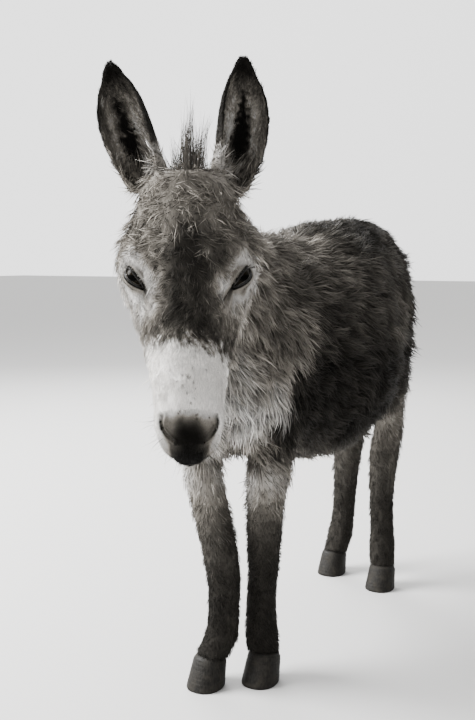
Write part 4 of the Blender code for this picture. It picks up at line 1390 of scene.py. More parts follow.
# by the share along the head: how much hair runs down the face, and how much aside
FACE_FALL = Stations((0.0, 0.20, 0.36, 0.5), (1.0, 0.9, 0.9, 1.6))
FACE_SPREAD = Stations((0.05, 0.20, 0.34, 0.50, 0.64, 0.70), (0.35, 0.7, 1.0, 0.9, 0.6, 0.15))
# which way the hair lies
BREAST_WAY, NECK_WAY = np.array((0.0, 0.25, -1.0)), np.array((-0.22, 0.80, -0.60))
LEG_WAY, DOCK_WAY = np.array((0.0, 0.22, -1.0)), np.array((0.0, 0.25, -1.0))
# swirls: how many radians they turn the hair, how far apart they are, and their seed
SWIRLS = ((0.32, 0.11, 51), (0.18, 0.04, 52))
FOREHEAD_SWIRLS = ((0.60, 0.038, 53), (0.40, 0.017, 55))


def swirled(swirls: tuple, points: Array) -> Array:
    """How far the swirls turn the hair at each point, in radians."""
    return sum(strength * Waves(size, seed)(points) for strength, size, seed in swirls)


@dataclass
class Roots:
    """Points picked on the skin's faces: each one's corners and how much each corner counts."""

    corners: Array
    shares: Array

    def at(self, values: Array) -> Array:
        """The vertices' values at each root."""
        values = np.asarray(values, float)
        return (values[self.corners] * self.shares.reshape(-1, 3, *[1] * (values.ndim - 1))).sum(axis=1)


@dataclass
class Coat:
    """The hair that grows out of the skin, part by part."""

    anatomy: Anatomy
    skin: Skin
    seed: int = 40
    lowest: float = 0.036  # no hair grows below this height, where the horn is
    faces: Array = field(init=False)
    areas: Array = field(init=False)
    lengths: Array = field(init=False)
    widths: Array = field(init=False)
    ways: Array = field(init=False)
    bare: Array = field(init=False)

    WIDTH = (0.0006, 0.038)  # of a lock: in metres, and what its length adds as a share of it
    FINER_HEAD = 0.20  # how much finer the head's locks are
    # how much a clump's luck and a lock's own change its length and, in radians, its way
    LENGTH_LUCK = (0.18, 0.16)
    TURN_LUCK = (0.16, 0.12)
    LIFT_LUCK = 6.0  # degrees
    LIFTS = (6.0, 16.0)  # the least lift, and the most above the part's own
    TONE_LUCK = 0.20  # of a clump
    FULLEST = 0.85  # the share of the faces whose short hair is as thickly set as it needs
    CELL = 0.012  # the size of the cells in which the faces are gone through

    def build(self) -> list[Object]:
        """Grows the coat and returns its pieces."""
        at = self.skin.fields
        self.faces = mesh_triangles(self.skin.piece.data)
        corners = at.points[self.faces]
        cross = np.cross(corners[:, 1] - corners[:, 0], corners[:, 2] - corners[:, 0])
        self.areas = np.linalg.norm(cross, axis=1) / 2.0
        self.lengths = self.hair_lengths(at)
        self.widths = self.WIDTH[0] + self.WIDTH[1] * self.lengths
        self.widths = self.widths * (1.0 - self.FINER_HEAD * at.weights[Part.HEAD])
        self.ways = self.combed(at)
        self.bare = self.bare_places(at)
        owner = np.median(at.part()[self.faces], axis=1).astype(int)
        made = []
        for number, part in enumerate(Part):
            made += self.grow(part, np.flatnonzero(owner == number), at)
        return made

    def hair_lengths(self, at: Fields) -> Array:
        """The length of the hair at each vertex."""
        w, z = at.weights, at.points[:, 2]
        face = mixed(FACE_HAIR(at.along), CHEEK_HAIR(at.along), eased(-at.front, 0.01, 0.06))
        for eye in EyeFrame.both(self.anatomy.head):
            face = mixed(EYELID_HAIR, face, eased(eye.gap(at.points), 0.026, 0.044))
        leg = LEG_HAIR(z)
        ear = mixed(np.full(len(z), EAR_OUTSIDE_HAIR), EAR_INSIDE_HAIR, at.ear_inside * (1.0 - at.rim))
        ear = mixed(ear, EAR_EDGE_HAIR, np.maximum(at.rim, eased(at.ear_up, 0.85, 0.95)))
        ear = mixed(EAR_BASE_HAIR, ear, eased(at.ear_up, 0.04, 0.30))
        trunk = mixed(np.full(len(z), BARREL_HAIR), BACK_HAIR, eased(z, 0.78, 0.90))
        return (
            trunk * w[Part.TRUNK] + NECK_HAIR * w[Part.NECK] + face * w[Part.HEAD]
            + ear * w[Part.EARS] + leg * (w[Part.FORELEGS] + w[Part.HIND_LEGS])
            + DOCK_HAIR * w[Part.DOCK]
        )

    def combed(self, at: Fields) -> Array:
        """Which way the hair lies at each vertex, along the skin."""
        w = at.weights
        _, y, z = at.points.T
        flank = np.abs(at.normals[:, 0])
        trunk = np.stack((np.zeros(len(y)), np.ones(len(y)), -0.15 - 0.55 * flank), axis=1)
        trunk = mixed(trunk, BREAST_WAY, eased(-y, 0.08, 0.20) * eased(-z, -0.86, -0.70))
        neck = mixed(NECK_WAY, BREAST_WAY, eased(-z, -0.78, -0.62))
        way = trunk * w[Part.TRUNK][:, None] + neck * w[Part.NECK][:, None]
        way += self.face_ways(at) * w[Part.HEAD][:, None]
        way += self.ear_ways(at) * w[Part.EARS][:, None]
        legs = (w[Part.FORELEGS] + w[Part.HIND_LEGS])[:, None]
        way += LEG_WAY * legs + DOCK_WAY * w[Part.DOCK][:, None]
        way = self.along_skin(way, at.normals)
        sway = swirled(SWIRLS, at.points)
        forehead = w[Part.HEAD] * (1.0 - eased(at.along, 0.35, 0.55)) * eased(at.front, -0.09, -0.03)
        sway += forehead * swirled(FOREHEAD_SWIRLS, at.points)
        sway *= 1.0 - 0.75 * eased(at.along, 0.6, 0.7) * w[Part.HEAD]
        side = np.cross(at.normals, way)
        return unit(way * np.cos(sway)[:, None] + side * np.sin(sway)[:, None])

    @staticmethod
    def along_skin(ways: Array, normals: Array) -> Array:
        """The ways laid flat on the skin."""
        return unit(ways - normals * (ways * normals).sum(axis=1, keepdims=True))

    def face_ways(self, at: Fields) -> Array:
        """Hair parts down the middle of the face, and runs back over the cheeks."""
        head = self.anatomy.head
        parting = np.tanh(at.side / 0.030 + 0.9 * Waves(0.030, 54)(at.points))
        aside, fall = parting * FACE_SPREAD(at.along), FACE_FALL(at.along)
        way = head.side * aside[:, None] + head.down * fall[:, None]
        cheek = head.down * 0.60 - head.front * 0.75
        return mixed(way, cheek, eased(-at.front, 0.015, 0.07))

    def ear_ways(self, at: Fields) -> Array:
        """Hair runs up the ear, and inside it in from the edges."""
        which = self.anatomy.ear_of(at.points)
        way = np.zeros_like(at.points)
        for i, ear in enumerate(self.anatomy.ears):
            mine = which == i
            along = unit(ear.tip - ear.root)
            across = unit(np.cross(along, ear.opening))
            inward = -np.sign(at.ear_across[mine]) * at.ear_inside[mine] * 0.12
            way[mine] = along + across * inward[:, None] + ear.opening * 0.1
        return way

    def bare_places(self, at: Fields) -> Array:
        """0 where no lock may grow: on lids, in nostrils and on the lips' line."""
        head, points = self.anatomy.head, at.points
        keep = np.ones(len(points))
        for eye in EyeFrame.both(head):
            along, above, size = eye.angles(points)
            lids = np.where(size < 0.040, eye.outside(along, above), 99.0)
            keep = np.min((
                keep, eased(lids, 9.0, 15.0),
                eased(eye.tear_gap(head, points), 0.0045, 0.0065),
                eased(eye.crease_gap(head, points), 0.0024, 0.0040),
                eased(nostril_gap(head, points, eye.s), 0.0040, 0.0060),
            ), axis=0)
        keep = np.minimum(keep, 1.0 - 0.7 * at.ear_groove() * at.weights[Part.EARS])
        return keep * (points[:, 2] >= self.lowest)

    def grow(self, part: Part, faces: Array, at: Fields) -> list[Object]:
        """Grows one part's locks and returns its pieces."""
        growth = GROWTHS[part]
        rng = np.random.default_rng(self.seed + len(part.name) * 7 + len(faces) % 13)
        picked = self.picked(faces, at, growth.count, rng)
        roots, normals = picked.at(at.points), unit(picked.at(at.normals))
        ways = self.along_skin(picked.at(self.ways), normals)
        lengths, tones = picked.at(self.lengths), picked.at(self.skin.tones)
        clumps, centre = self.clumps(roots, growth.clump, rng)
        # longer locks get more painted shade at the root, and more luck in lift, grey and frost
        contrasts = 0.2 + 0.8 * eased(lengths, 0.004, 0.018)
        luck = rng.normal(size=(clumps, 3))[centre[0]]
        own = rng.normal(size=(growth.count, 3))
        lengths = lengths * np.exp(self.LENGTH_LUCK[0] * luck[:, 0] + self.LENGTH_LUCK[1] * own[:, 0])
        lifts = growth.lift + (self.LIFT_LUCK * luck[:, 1] + self.LIFT_LUCK * own[:, 1]) * contrasts
        swing = self.TURN_LUCK[0] * luck[:, 2] + self.TURN_LUCK[1] * own[:, 2]
        side = np.cross(normals, ways)
        shades = (self.TONE_LUCK * luck[:, 1] + growth.mottle * own[:, 0]) * contrasts
        tones = tones * np.exp(shades)[:, None]
        frosted = growth.frost * (own[:, 2] > 1.0) * contrasts * (tones[:, 1] < 0.2)
        pulls = (centre[1] - roots) * (growth.pull * eased(lengths, 0.004, 0.014))[:, None]
        locks = Locks(
            roots, normals, unit(ways * np.cos(swing)[:, None] + side * np.sin(swing)[:, None]),
            lengths, picked.at(self.widths), np.clip(lifts, self.LIFTS[0], growth.lift + self.LIFTS[1]),
            np.full(growth.count, growth.bend), tones * (1.0 + frosted)[:, None],
            self.unrolled(part, roots, normals),
            pulls - normals * (pulls * normals).sum(axis=1, keepdims=True), contrasts,
        )
        return self.pieces(part, locks)

    def picked(self, faces: Array, at: Fields, count: int, rng: np.random.Generator) -> Roots:
        """Picks roots on one part's faces, more of them where the hair is short and thin.

        Args:
            faces: The numbers of the part's faces.
            at: What is known of the skin's vertices.
            count: How many roots to pick.
            rng: Where the luck comes from.

        Returns:
            The roots.
        """
        corners = self.faces[faces]
        need = 1.0 / (self.lengths * self.widths)
        need = np.minimum(need, np.quantile(need[corners], self.FULLEST))
        share = self.areas[faces] * (need * self.bare)[corners].mean(axis=1)
        middles = at.points[corners].mean(axis=1)
        order = np.lexsort(np.floor(middles / self.CELL).T)
        total = np.cumsum(share[order])
        spots = (np.arange(count) + rng.uniform(0, 1, count)) / count
        chosen = corners[order[np.searchsorted(total, spots * total[-1])]]
        mixing = rng.uniform(0, 1, (count, 2))
        fold = mixing.sum(axis=1) > 1
        mixing[fold] = 1 - mixing[fold]
        return Roots(chosen, np.column_stack((mixing, 1 - mixing.sum(axis=1))))

    def pieces(self, part: Part, locks: Locks) -> list[Object]:
        """One part's locks, shared out over its pieces along the part."""
        count = GROWTHS[part].pieces
        order = np.argsort(locks.unwrap[:, 1], kind="stable")
        made = []
        for i, chosen in enumerate(np.array_split(order, count)):
            name = f"coat_{part.name.lower()}" + (f"_{i + 1}" if count > 1 else "")
            made.append(linked(name, locks.some(chosen, self.seed + i).mesh(name)))
            LOG.info("%s: %d locks", name, len(chosen))
        return made

    @staticmethod
    def clumps(roots: Array, size: float, rng: np.random.Generator) -> tuple[int, tuple]:
        """Groups the roots round centres about that far apart."""
        cells = np.floor((roots + rng.uniform(0, 1, 3)) / size)
        mixing = rng.permutation(len(roots))
        _, first = np.unique(cells[mixing], axis=0, return_index=True)
        first = mixing[first]
        tree = KDTree(len(first))
        for i, place in enumerate(roots[first].tolist()):
            tree.insert(place, i)
        tree.balance()
        nearest = np.array([tree.find(p)[1] for p in roots.tolist()])
        return len(first), (nearest, roots[first][nearest])

    def unrolled(self, part: Part, points: Array, normals: Array) -> Array:
        """Each point's place on the part unrolled round its own long axis."""
        x, y, z = points.T
        if part is Part.TRUNK:
            u, v = turn_of(x, z - 0.64), (y + 0.32) / 0.92
        elif part is Part.NECK:
            axis = unit(np.array((0.28, -0.90, 0.34)))
            away = points - np.array((-0.02, -0.16, 0.72))
            flat = unit(np.cross(axis, UP))
            u, v = turn_of(away @ flat, away @ np.cross(flat, axis)), (away @ axis + 0.12) / 0.52
        elif part is Part.HEAD:
            along, side, front = self.anatomy.head.measure(points)
            u, v = turn_of(side, front + 0.07), (along + 0.12) / 1.12
        elif part is Part.EARS:
            u, v = self.unrolled_ears(points, normals)
        else:
            u, v = self.unrolled_limbs(x, y, z)
        return np.clip(np.column_stack((u, v)), 0.0, 1.0) * 0.98 + 0.01

    def unrolled_ears(self, points: Array, normals: Array) -> Array:
        """The ears' outsides and insides, side by side."""
        which = self.anatomy.ear_of(points)
        places = np.zeros((2, len(points)))
        for i, ear in enumerate(self.anatomy.ears):
            mine = which == i
            up, across, _ = ear.measure(points[mine])
            inside = normals[mine] @ ear.opening > 0
            places[:, mine] = 0.25 * i + 0.5 * inside + 0.125 + across / 0.36, (up + 0.15) / 1.3
        return places

    @staticmethod
    def unrolled_limbs(x: Array, y: Array, z: Array) -> tuple[Array, Array]:
        """What hangs, in a left and a right half, each round a middle line that bends with it."""
        left = x > np.median(x)
        u = np.zeros(len(x))
        for i, mine in enumerate((left, ~left)):
            off = [line[mine] - np.polyval(np.polyfit(z[mine], line[mine], 2), z[mine]) for line in (x, y)]
            u[mine] = (turn_of(*off) + i) / 2.0
        return u, (z - z.min()) / max(z.max() - z.min(), 1e-6)


def turn_of(across: Array, up: Array) -> Array:
    """The share of a full turn that a direction stands at."""
    return 0.5 + np.arctan2(across, up) / (2.0 * math.pi)


# ---- long hair ----
@dataclass(frozen=True)
class Strands:
    """A stand of long hair: where it roots, where it points and how long it is."""

    name: str
    replaces: str
    count: int
    width: float
    shade: float
    tip_light: float
    seed: int
    # how dark each lock is at its root, as painted shade deep in the hair
    painted_root_shade: float = 0.75

    def mesh(self, roots: Array, tips: Array, outward: Array, bend: float) -> Mesh:
        """Locks from roots to tips.

        Args:
            roots: Where each lock starts.
            tips: Where each lock ends.
            outward: The way that each lock bows.
            bend: How far it bows, as a share of its length.

        Returns:
            The locks as one mesh.
        """
        rng = np.random.default_rng(self.seed)
        count = len(roots)
        away = tips - roots
        lengths = np.linalg.norm(away, axis=1)
        ways = unit(away)
        normals = Coat.along_skin(outward, ways)
        tones = self.shade * np.exp(0.22 * rng.normal(size=count))
        tones = tones[:, None] * np.array(grey(1.0)[:3])
        spread = unit(rng.normal(size=(count, 3)))
        share = np.linspace(0.05, 0.95, count)
        unwrap = np.column_stack((rng.uniform(0.02, 0.98, count), share))
        lifts = np.degrees(np.arcsin(np.clip(bend * rng.uniform(0.5, 1.5, count), -0.9, 0.9)))
        locks = Locks(
            roots, normals, ways, lengths, np.full(count, self.width) * rng.uniform(0.6, 1.2, count),
            lifts, np.sin(np.radians(lifts)), tones, unwrap, spread * lengths[:, None] * 0.05,
            np.ones(count), (0.0, 0.25, 0.5, 0.75), (0.9, 1.0, 0.8, 0.5), embed=0.004,
            tip_light=self.tip_light, painted_root_shade=self.painted_root_shade, seed=self.seed,
        )
        return locks.mesh(self.name)

    def finish(self, mesh: Mesh, material: Material) -> Object:
        """The mesh as a piece in place of its solid."""
        mesh.materials.append(material)
        obj = linked(self.name, mesh)
        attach(obj, BODY)
        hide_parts(self.replaces)
        LOG.info("%s: %d locks", self.name, self.count)
        return obj


@dataclass(frozen=True)
class Mane:
    """The short stiff mane along the crest of the neck."""

    strands: Strands = Strands("mane_hair", "mane", 1700, 0.0022, 0.040, 1.3, 61)
    half_width: float = 0.013
    crest: tuple = ((-0.025, -0.086, 0.872), (0.003, -0.226, 0.902), (0.043, -0.346, 0.927),
                    (0.097, -0.482, 0.947))
    depths: tuple = (0.012, 0.006)  # how deep the middle row roots, and how much deeper the edges
    buried: float = 0.010  # how much of each lock is in the coat
    lengths: tuple = (0.72, 1.08)
    fan: float = 0.30  # how far the locks at the edges lean out
    ahead: float = 0.10  # how far all of them lean forwards
    sway: float = 0.16
    stray: float = 0.06
    heights: Stations = Stations((0.0, 0.08, 0.25, 0.6, 0.8, 1.0),
                                 (0.004, 0.010, 0.018, 0.012, 0.008, 0.002))

    def build(self, material: Material) -> Object:
        """Sets the locks along the crest."""
        rng = np.random.default_rng(self.strands.seed)
        count = self.strands.count
        share = rng.uniform(0.0, 1.0, count)
        path = np.array(self.crest)
        roots = path_points(path, share)
        ahead = unit(path[-1] - path[0])
        side = unit(np.cross(ahead, UP))
        off = np.clip(rng.normal(0.0, 0.5, count), -1.0, 1.0)
        depth = self.depths[0] + self.depths[1] * np.abs(off)
        roots = roots + side * (off * self.half_width)[:, None] - UP * depth[:, None]
        height = (self.heights(share) + self.buried) * rng.uniform(*self.lengths, count)
        lean = off * self.fan + self.sway * Waves(0.03, 62)(roots) + rng.normal(0, self.stray, count)
        fore = self.ahead + self.sway * Waves(0.035, 63)(roots) + rng.normal(0, self.stray, count)
        way = unit(UP + side * lean[:, None] + ahead * fore[:, None])
        mesh = self.strands.mesh(roots, roots + way * height[:, None], side * np.sign(off)[:, None], 0.12)
        return self.strands.finish(mesh, material)


@dataclass(frozen=True)
class Forelock:
    """The wispy tuft that stands between the ears."""

    anatomy: Anatomy
    strands: Strands = Strands("forelock_hair", "forelock", 560, 0.0009, 0.200, 0.14, 71, 1.0)
    spikes: tuple = (
        # root and tip: to the left of the poll, ahead of it, height; the root's radius; its share
        ((0.002, -0.006, 0.935), (0.006, 0.004, 1.056), 0.013, 0.17),
        ((0.000, -0.002, 0.935), (-0.006, 0.000, 1.036), 0.010, 0.11),
        ((0.010, -0.004, 0.930), (0.033, 0.008, 1.034), 0.010, 0.13),
        ((0.008, 0.000, 0.930), (0.018, 0.006, 1.020), 0.009, 0.09),
        ((-0.008, 0.000, 0.930), (-0.024, 0.008, 1.000), 0.012, 0.13),
        ((-0.014, 0.000, 0.925), (-0.040, 0.004, 0.978), 0.010, 0.08),
        ((0.014, 0.006, 0.928), (0.026, 0.016, 0.988), 0.013, 0.10),
        ((0.000, 0.012, 0.922), (-0.006, 0.030, 0.966), 0.018, 0.10),
        ((0.002, -0.024, 0.935), (-0.006, -0.028, 1.014), 0.016, 0.09),
    )

    thickness: float = 0.60  # how far the roots spread, as a share of a spike's radius
    gathered: float = 0.92  # how much of that the tips give up
    reach: tuple = (0.30, 1.05)
    buried: float = 0.006
    stray: float = 0.0020

    def build(self, material: Material) -> Object:
        """Sets each spike's locks."""
        rng = np.random.default_rng(self.strands.seed)
        head = self.anatomy.head
        level = head.poll * (1.0, 1.0, 0.0)
        roots, tips = [], []
        for low, high, radius, share in self.spikes:
            count = int(self.strands.count * share)
            ends = [level + head.side * p[0] + head.forward * p[1] + UP * p[2] for p in (low, high)]
            spread = rng.normal(0.0, self.thickness, (count, 3)) * radius
            root = ends[0] + spread * (1.0, 1.0, 0.3) - UP * self.buried
            reach = rng.uniform(*self.reach, count)[:, None]
            tip = root + (ends[1] - ends[0]) * reach - spread * (self.gathered * reach)
            tip += rng.normal(0.0, self.stray, (count, 3))
            roots.append(root)
            tips.append(tip)
        roots, tips = np.concatenate(roots), np.concatenate(tips)
        out = np.tile(head.forward, (len(roots), 1)) + rng.normal(0, 0.6, (len(roots), 3))
        mesh = self.strands.mesh(roots, tips, out, 0.10)
        return self.strands.finish(mesh, material)


@dataclass(frozen=True)
class Switch:
    """The long hair at the end of the tail."""

    strands: Strands = Strands("tail_hair", "tail_switch", 1300, 0.0030, 0.040, 1.4, 81)
    dock: tuple = ((-0.019, 0.621, 0.680), (-0.017, 0.617, 0.600), (-0.016, 0.612, 0.545))
    lowest: float = 0.339
    length_range: float = 0.16  # how much higher the shortest locks end
    radii: tuple = (0.013, 0.020)  # at the roots and, at most, at the tips

    def build(self, material: Material) -> Object:
        """Hangs the locks from the end of the dock."""
        rng = np.random.default_rng(self.strands.seed)
        count = self.strands.count
        share = rng.uniform(0.0, 1.0, count) ** 0.8
        path = np.array(self.dock)
        middle = path_points(path, share)
        turn = rng.uniform(0.0, 2.0 * math.pi, count)
        out = np.column_stack((np.cos(turn), np.sin(turn), np.zeros(count)))
        roots = middle + out * self.radii[0]
        low = self.lowest + self.length_range * rng.uniform(0.0, 1.0, count) ** 1.6
        spread = rng.uniform(0.2, 1.0, count) * self.radii[1]
        tips = np.column_stack((path[-1][0] + out[:, 0] * spread, path[-1][1] + out[:, 1] * spread, low))
        mesh = self.strands.mesh(roots, tips, out, 0.09)
        return self.strands.finish(mesh, material)


# ---- single hairs and rims, made by node trees ----
class GeometryTree(Tree):
    """A node tree that makes geometry, with named inputs."""

    KINDS = {float: "NodeSocketFloat", int: "NodeSocketInt", Material: "NodeSocketMaterial"}

    def __init__(self, name: str, **inputs: object) -> None:
        """Starts the tree.

        Args:
            name: What the tree is called.
            inputs: The value of each input.
        """
        super().__init__(bpy.data.node_groups.new(name, "GeometryNodeTree"))
        face = self.tree.interface
        face.new_socket("Geometry", in_out="INPUT", socket_type="NodeSocketGeometry")
        self.values = {}
        for key, value in inputs.items():
            socket = face.new_socket(key, in_out="INPUT", socket_type=self.KINDS[type(value)])
            self.values[socket.identifier] = value
        face.new_socket("Geometry", in_out="OUTPUT", socket_type="NodeSocketGeometry")
        self.start = self.add("NodeGroupInput")
        self.end = self.add("NodeGroupOutput")

    def given(self, key: str) -> Socket:
        """The socket of one of the tree's inputs."""
        return self.start.outputs[key]

    def tube(self, curve: Socket, radius: Socket, sides: object) -> Socket:
        """A tube with closed ends round a curve, as thick as the radius says at each point."""
        sized = self.add("GeometryNodeSetCurveRadius", {"Curve": curve, "Radius": radius})
        ring = self.add("GeometryNodeCurvePrimitiveCircle", {"Resolution": sides, "Radius": 1.0})
        sweep = {"Curve": sized.outputs[0], "Profile Curve": ring.outputs[0], "Fill Caps": True}
        made = self.add("GeometryNodeCurveToMesh", sweep)
        if "Scale" in made.inputs:
            self.tree.links.new(radius, made.inputs["Scale"])
        return made.outputs[0]

    def close(self, geometry: Socket) -> None:
        """Ends the tree with real geometry that has its material."""
        real = self.add("GeometryNodeRealizeInstances", {"Geometry": geometry})
        inputs = {"Geometry": real.outputs[0], "Material": self.given("Material")}
        dressed = self.add("GeometryNodeSetMaterial", inputs)
        self.tree.links.new(dressed.outputs[0], self.end.inputs[0])

    def applied(self, name: str, mesh: Mesh) -> Object:
        """The tree's result on a mesh, as an object with a plain mesh."""
        obj = linked(name, mesh)
        modifier = obj.modifiers.new(name, "NODES")
        modifier.node_group = self.tree
        for key, value in self.values.items():
            modifier[key] = value
        return settled(obj)


@dataclass(frozen=True)
class SingleHairs:
    """Stiff single hairs, one at each point of a cloud, along the way stored there."""

    POINTS = 7  # along one hair
    CORNERS = 4  # round one hair
    TAPER = 1.08  # the share of its thickness at the root, which is lost by one along the hair

    name: str
    length: float
    thickness: float
    curve: float
    spread: float
    seed: int

    def tree(self, material: Material) -> GeometryTree:
        """The tree: a curved tapered hair, set on each point."""
        t = GeometryTree(self.name, Length=self.length, Thickness=self.thickness, Curve=self.curve,
                         Shortest=1.0 - self.spread, Seed=self.seed, Material=material)
        top = t.add("ShaderNodeCombineXYZ", {"Z": t.given("Length")})
        line = t.add("GeometryNodeCurvePrimitiveLine", {"End": top.outputs[0]})
        fine = t.add("GeometryNodeResampleCurve", {"Curve": line.outputs[0], "Count": self.POINTS})
        along = t.add("GeometryNodeSplineParameter").outputs["Factor"]
        shift = t.add("ShaderNodeCombineXYZ", {"X": t.times(t.times(along, along), t.given("Curve"))})
        bent = t.add("GeometryNodeSetPosition", {"Geometry": fine.outputs[0], "Offset": shift.outputs[0]})
        taper = t.add("ShaderNodeMath", {0: self.TAPER, 1: along}, operation="SUBTRACT")
        radius = t.times(taper.outputs[0], t.given("Thickness"))
        tube = t.tube(bent.outputs[0], radius, self.CORNERS)
        way = t.add("GeometryNodeInputNamedAttribute", {"Name": "way"}, data_type="FLOAT_VECTOR")
        whole_turn = (0.0, 0.0, 2.0 * math.pi)
        spin = t.add("FunctionNodeRandomValue", {"Max": whole_turn, "Seed": t.given("Seed")},
                     data_type="FLOAT_VECTOR")
        turned = t.add("FunctionNodeAlignRotationToVector",
                       {"Rotation": spin.outputs["Value"], "Vector": way.outputs[0]}, axis="Z")
        size = t.add("FunctionNodeRandomValue",
                     {2: t.given("Shortest"), 3: 1.0, "Seed": t.given("Seed")}, data_type="FLOAT")
        set_on = t.add("GeometryNodeInstanceOnPoints", {
            "Points": t.given("Geometry"), "Instance": tube,
            "Rotation": turned.outputs[0], "Scale": size.outputs[1],
        })
        t.close(set_on.outputs[0])
        return t

    def build(self, points: Array, ways: Array, material: Material) -> Object:
        """Sets a hair on each point."""
        mesh = cloud(self.name, points)
        layer = mesh.attributes.new("way", "FLOAT_VECTOR", "POINT")
        layer.data.foreach_set("vector", unit(ways).astype(np.float32).ravel())
        obj = self.tree(material).applied(self.name, mesh)
        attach(obj, BODY)
        LOG.info("%s: %d hairs", self.name, len(points))
        return obj


@dataclass(frozen=True)
class Rim:
    """A rounded rim swept along a path, such as the edge of an eyelid."""

    name: str
    radius: float
    sides: int = 10

    def build(self, path: Array, radii: Array, material: Material) -> Object:
        """Sweeps the rim along the path, with a radius share for each point."""
        mesh = bpy.data.meshes.new(self.name)
        mesh.from_pydata(path.tolist(), [(i, i + 1) for i in range(len(path) - 1)], [])
        layer = mesh.attributes.new("share", "FLOAT", "POINT")
        layer.data.foreach_set("value", radii.astype(np.float32))
        t = GeometryTree(self.name, Radius=self.radius, Sides=self.sides, Material=material)
        line = t.add("GeometryNodeMeshToCurve", {"Mesh": t.given("Geometry")})
        share = t.add("GeometryNodeInputNamedAttribute", {"Name": "share"}, data_type="FLOAT")
        radius = t.times(share.outputs[0], t.given("Radius"))
        tube = t.tube(line.outputs[0], radius, t.given("Sides"))
        t.close(t.add("GeometryNodeSetShadeSmooth", {"Geometry": tube}).outputs[0])
        obj = t.applied(self.name, mesh)
        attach(obj, BODY)
        return obj


# ---- eyes ----
@dataclass(frozen=True)
class Eye:
    """One eye: the ball, the rims of its lids and the lashes."""

    frame: EyeFrame
    side_name: str
    rims: tuple = (("upper", 0.0016), ("lower", 0.0014))  # the lids and their rims' radii
    rim_ends: float = 0.45  # how thick a rim still is at the corners
    rim_lift: float = 0.0010  # how far a rim's middle is above the ball
    tear_line: float = 0.00042
    tear_lift: float = 0.0004
    cornea: tuple = (0.035, 0.55)  # how high it is and how far it reaches, in shares of the radius
    cuts: tuple = (56, 40)  # round the ball and from pole to pole

    def build(self, lid: Material, wet: Material, hair: Material) -> None:
        """Makes the eye's pieces."""
        self.ball()
        for name, radius in self.rims:
            path = self.frame.lid_path(name == "upper", self.rim_lift, 49)
            share = self.rim_ends + (1.0 - self.rim_ends) * self.swell(len(path))
            Rim(f"lid_{name}_{self.side_name}", radius).build(path, share, lid)
        # a wet line along the lower lid; its grey, paler than the lids', is partly a painted glint
        path = self.frame.lid_path(False, self.tear_lift, 49, -3.2)[8:-8]
        Rim(f"tear_line_{self.side_name}", self.tear_line).build(path, self.swell(len(path)), wet)
        self.lashes(hair)

    @staticmethod
    def swell(count: int) -> Array:
        """Shares that rise from 0 at both ends of a path to 1 in its middle."""
        return np.sin(np.linspace(0.0, math.pi, count)) ** 0.5

    def ball(self) -> None:
        """The ball, with a slightly raised cornea."""
        e = self.frame
        basis = np.column_stack((e.slit, np.cross(e.gaze, e.slit), e.gaze))
        mesh = bmesh.new()
        bmesh.ops.create_uvsphere(mesh, u_segments=self.cuts[0], v_segments=self.cuts[1], radius=1.0)
        for v in mesh.verts:
            way = np.array(v.co)
            height = self.cornea[0] * float(hump(math.hypot(way[0], way[1]), 0.0, self.cornea[1]))
            raised = 1.0 + height * (way[2] > 0)
            v.co = (e.centre + basis @ way * (e.radius * raised)).tolist()
        bmesh.ops.recalc_face_normals(mesh, faces=mesh.faces)
        data = taken_from(mesh, f"eyeball_{self.side_name}")
        smooth_faces(data)
        level = unit(np.cross(UP, e.gaze))
        turn = tuple(matrix_of(np.column_stack((level, np.cross(e.gaze, level), e.gaze))).to_euler("XYZ"))
        finish = EyeFinish(f"eye_{self.side_name}_wet", tuple(e.centre), turn, e.radius)
        data.materials.append(finish.material())
        obj = linked(f"eyeball_{self.side_name}", data)
        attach(obj, BODY)
        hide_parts(f"eye_{self.side_name}")

    def lashes(self, material: Material) -> None:
        """The lashes of the upper lid, which stand out and down."""
        e = self.frame
        rng = np.random.default_rng(90 + e.s)
        points = e.lid_path(True, 0.0028, 46)[4:-4]
        out = unit(points - e.centre)
        ways = out * 0.9 + e.gaze * 0.5 + e.over * 0.10 + rng.normal(0, 0.10, points.shape)
        hairs = SingleHairs(f"lashes_{self.side_name}", 0.013, 0.00022, -0.003, 0.4, 91)
        hairs.build(points, ways, material)


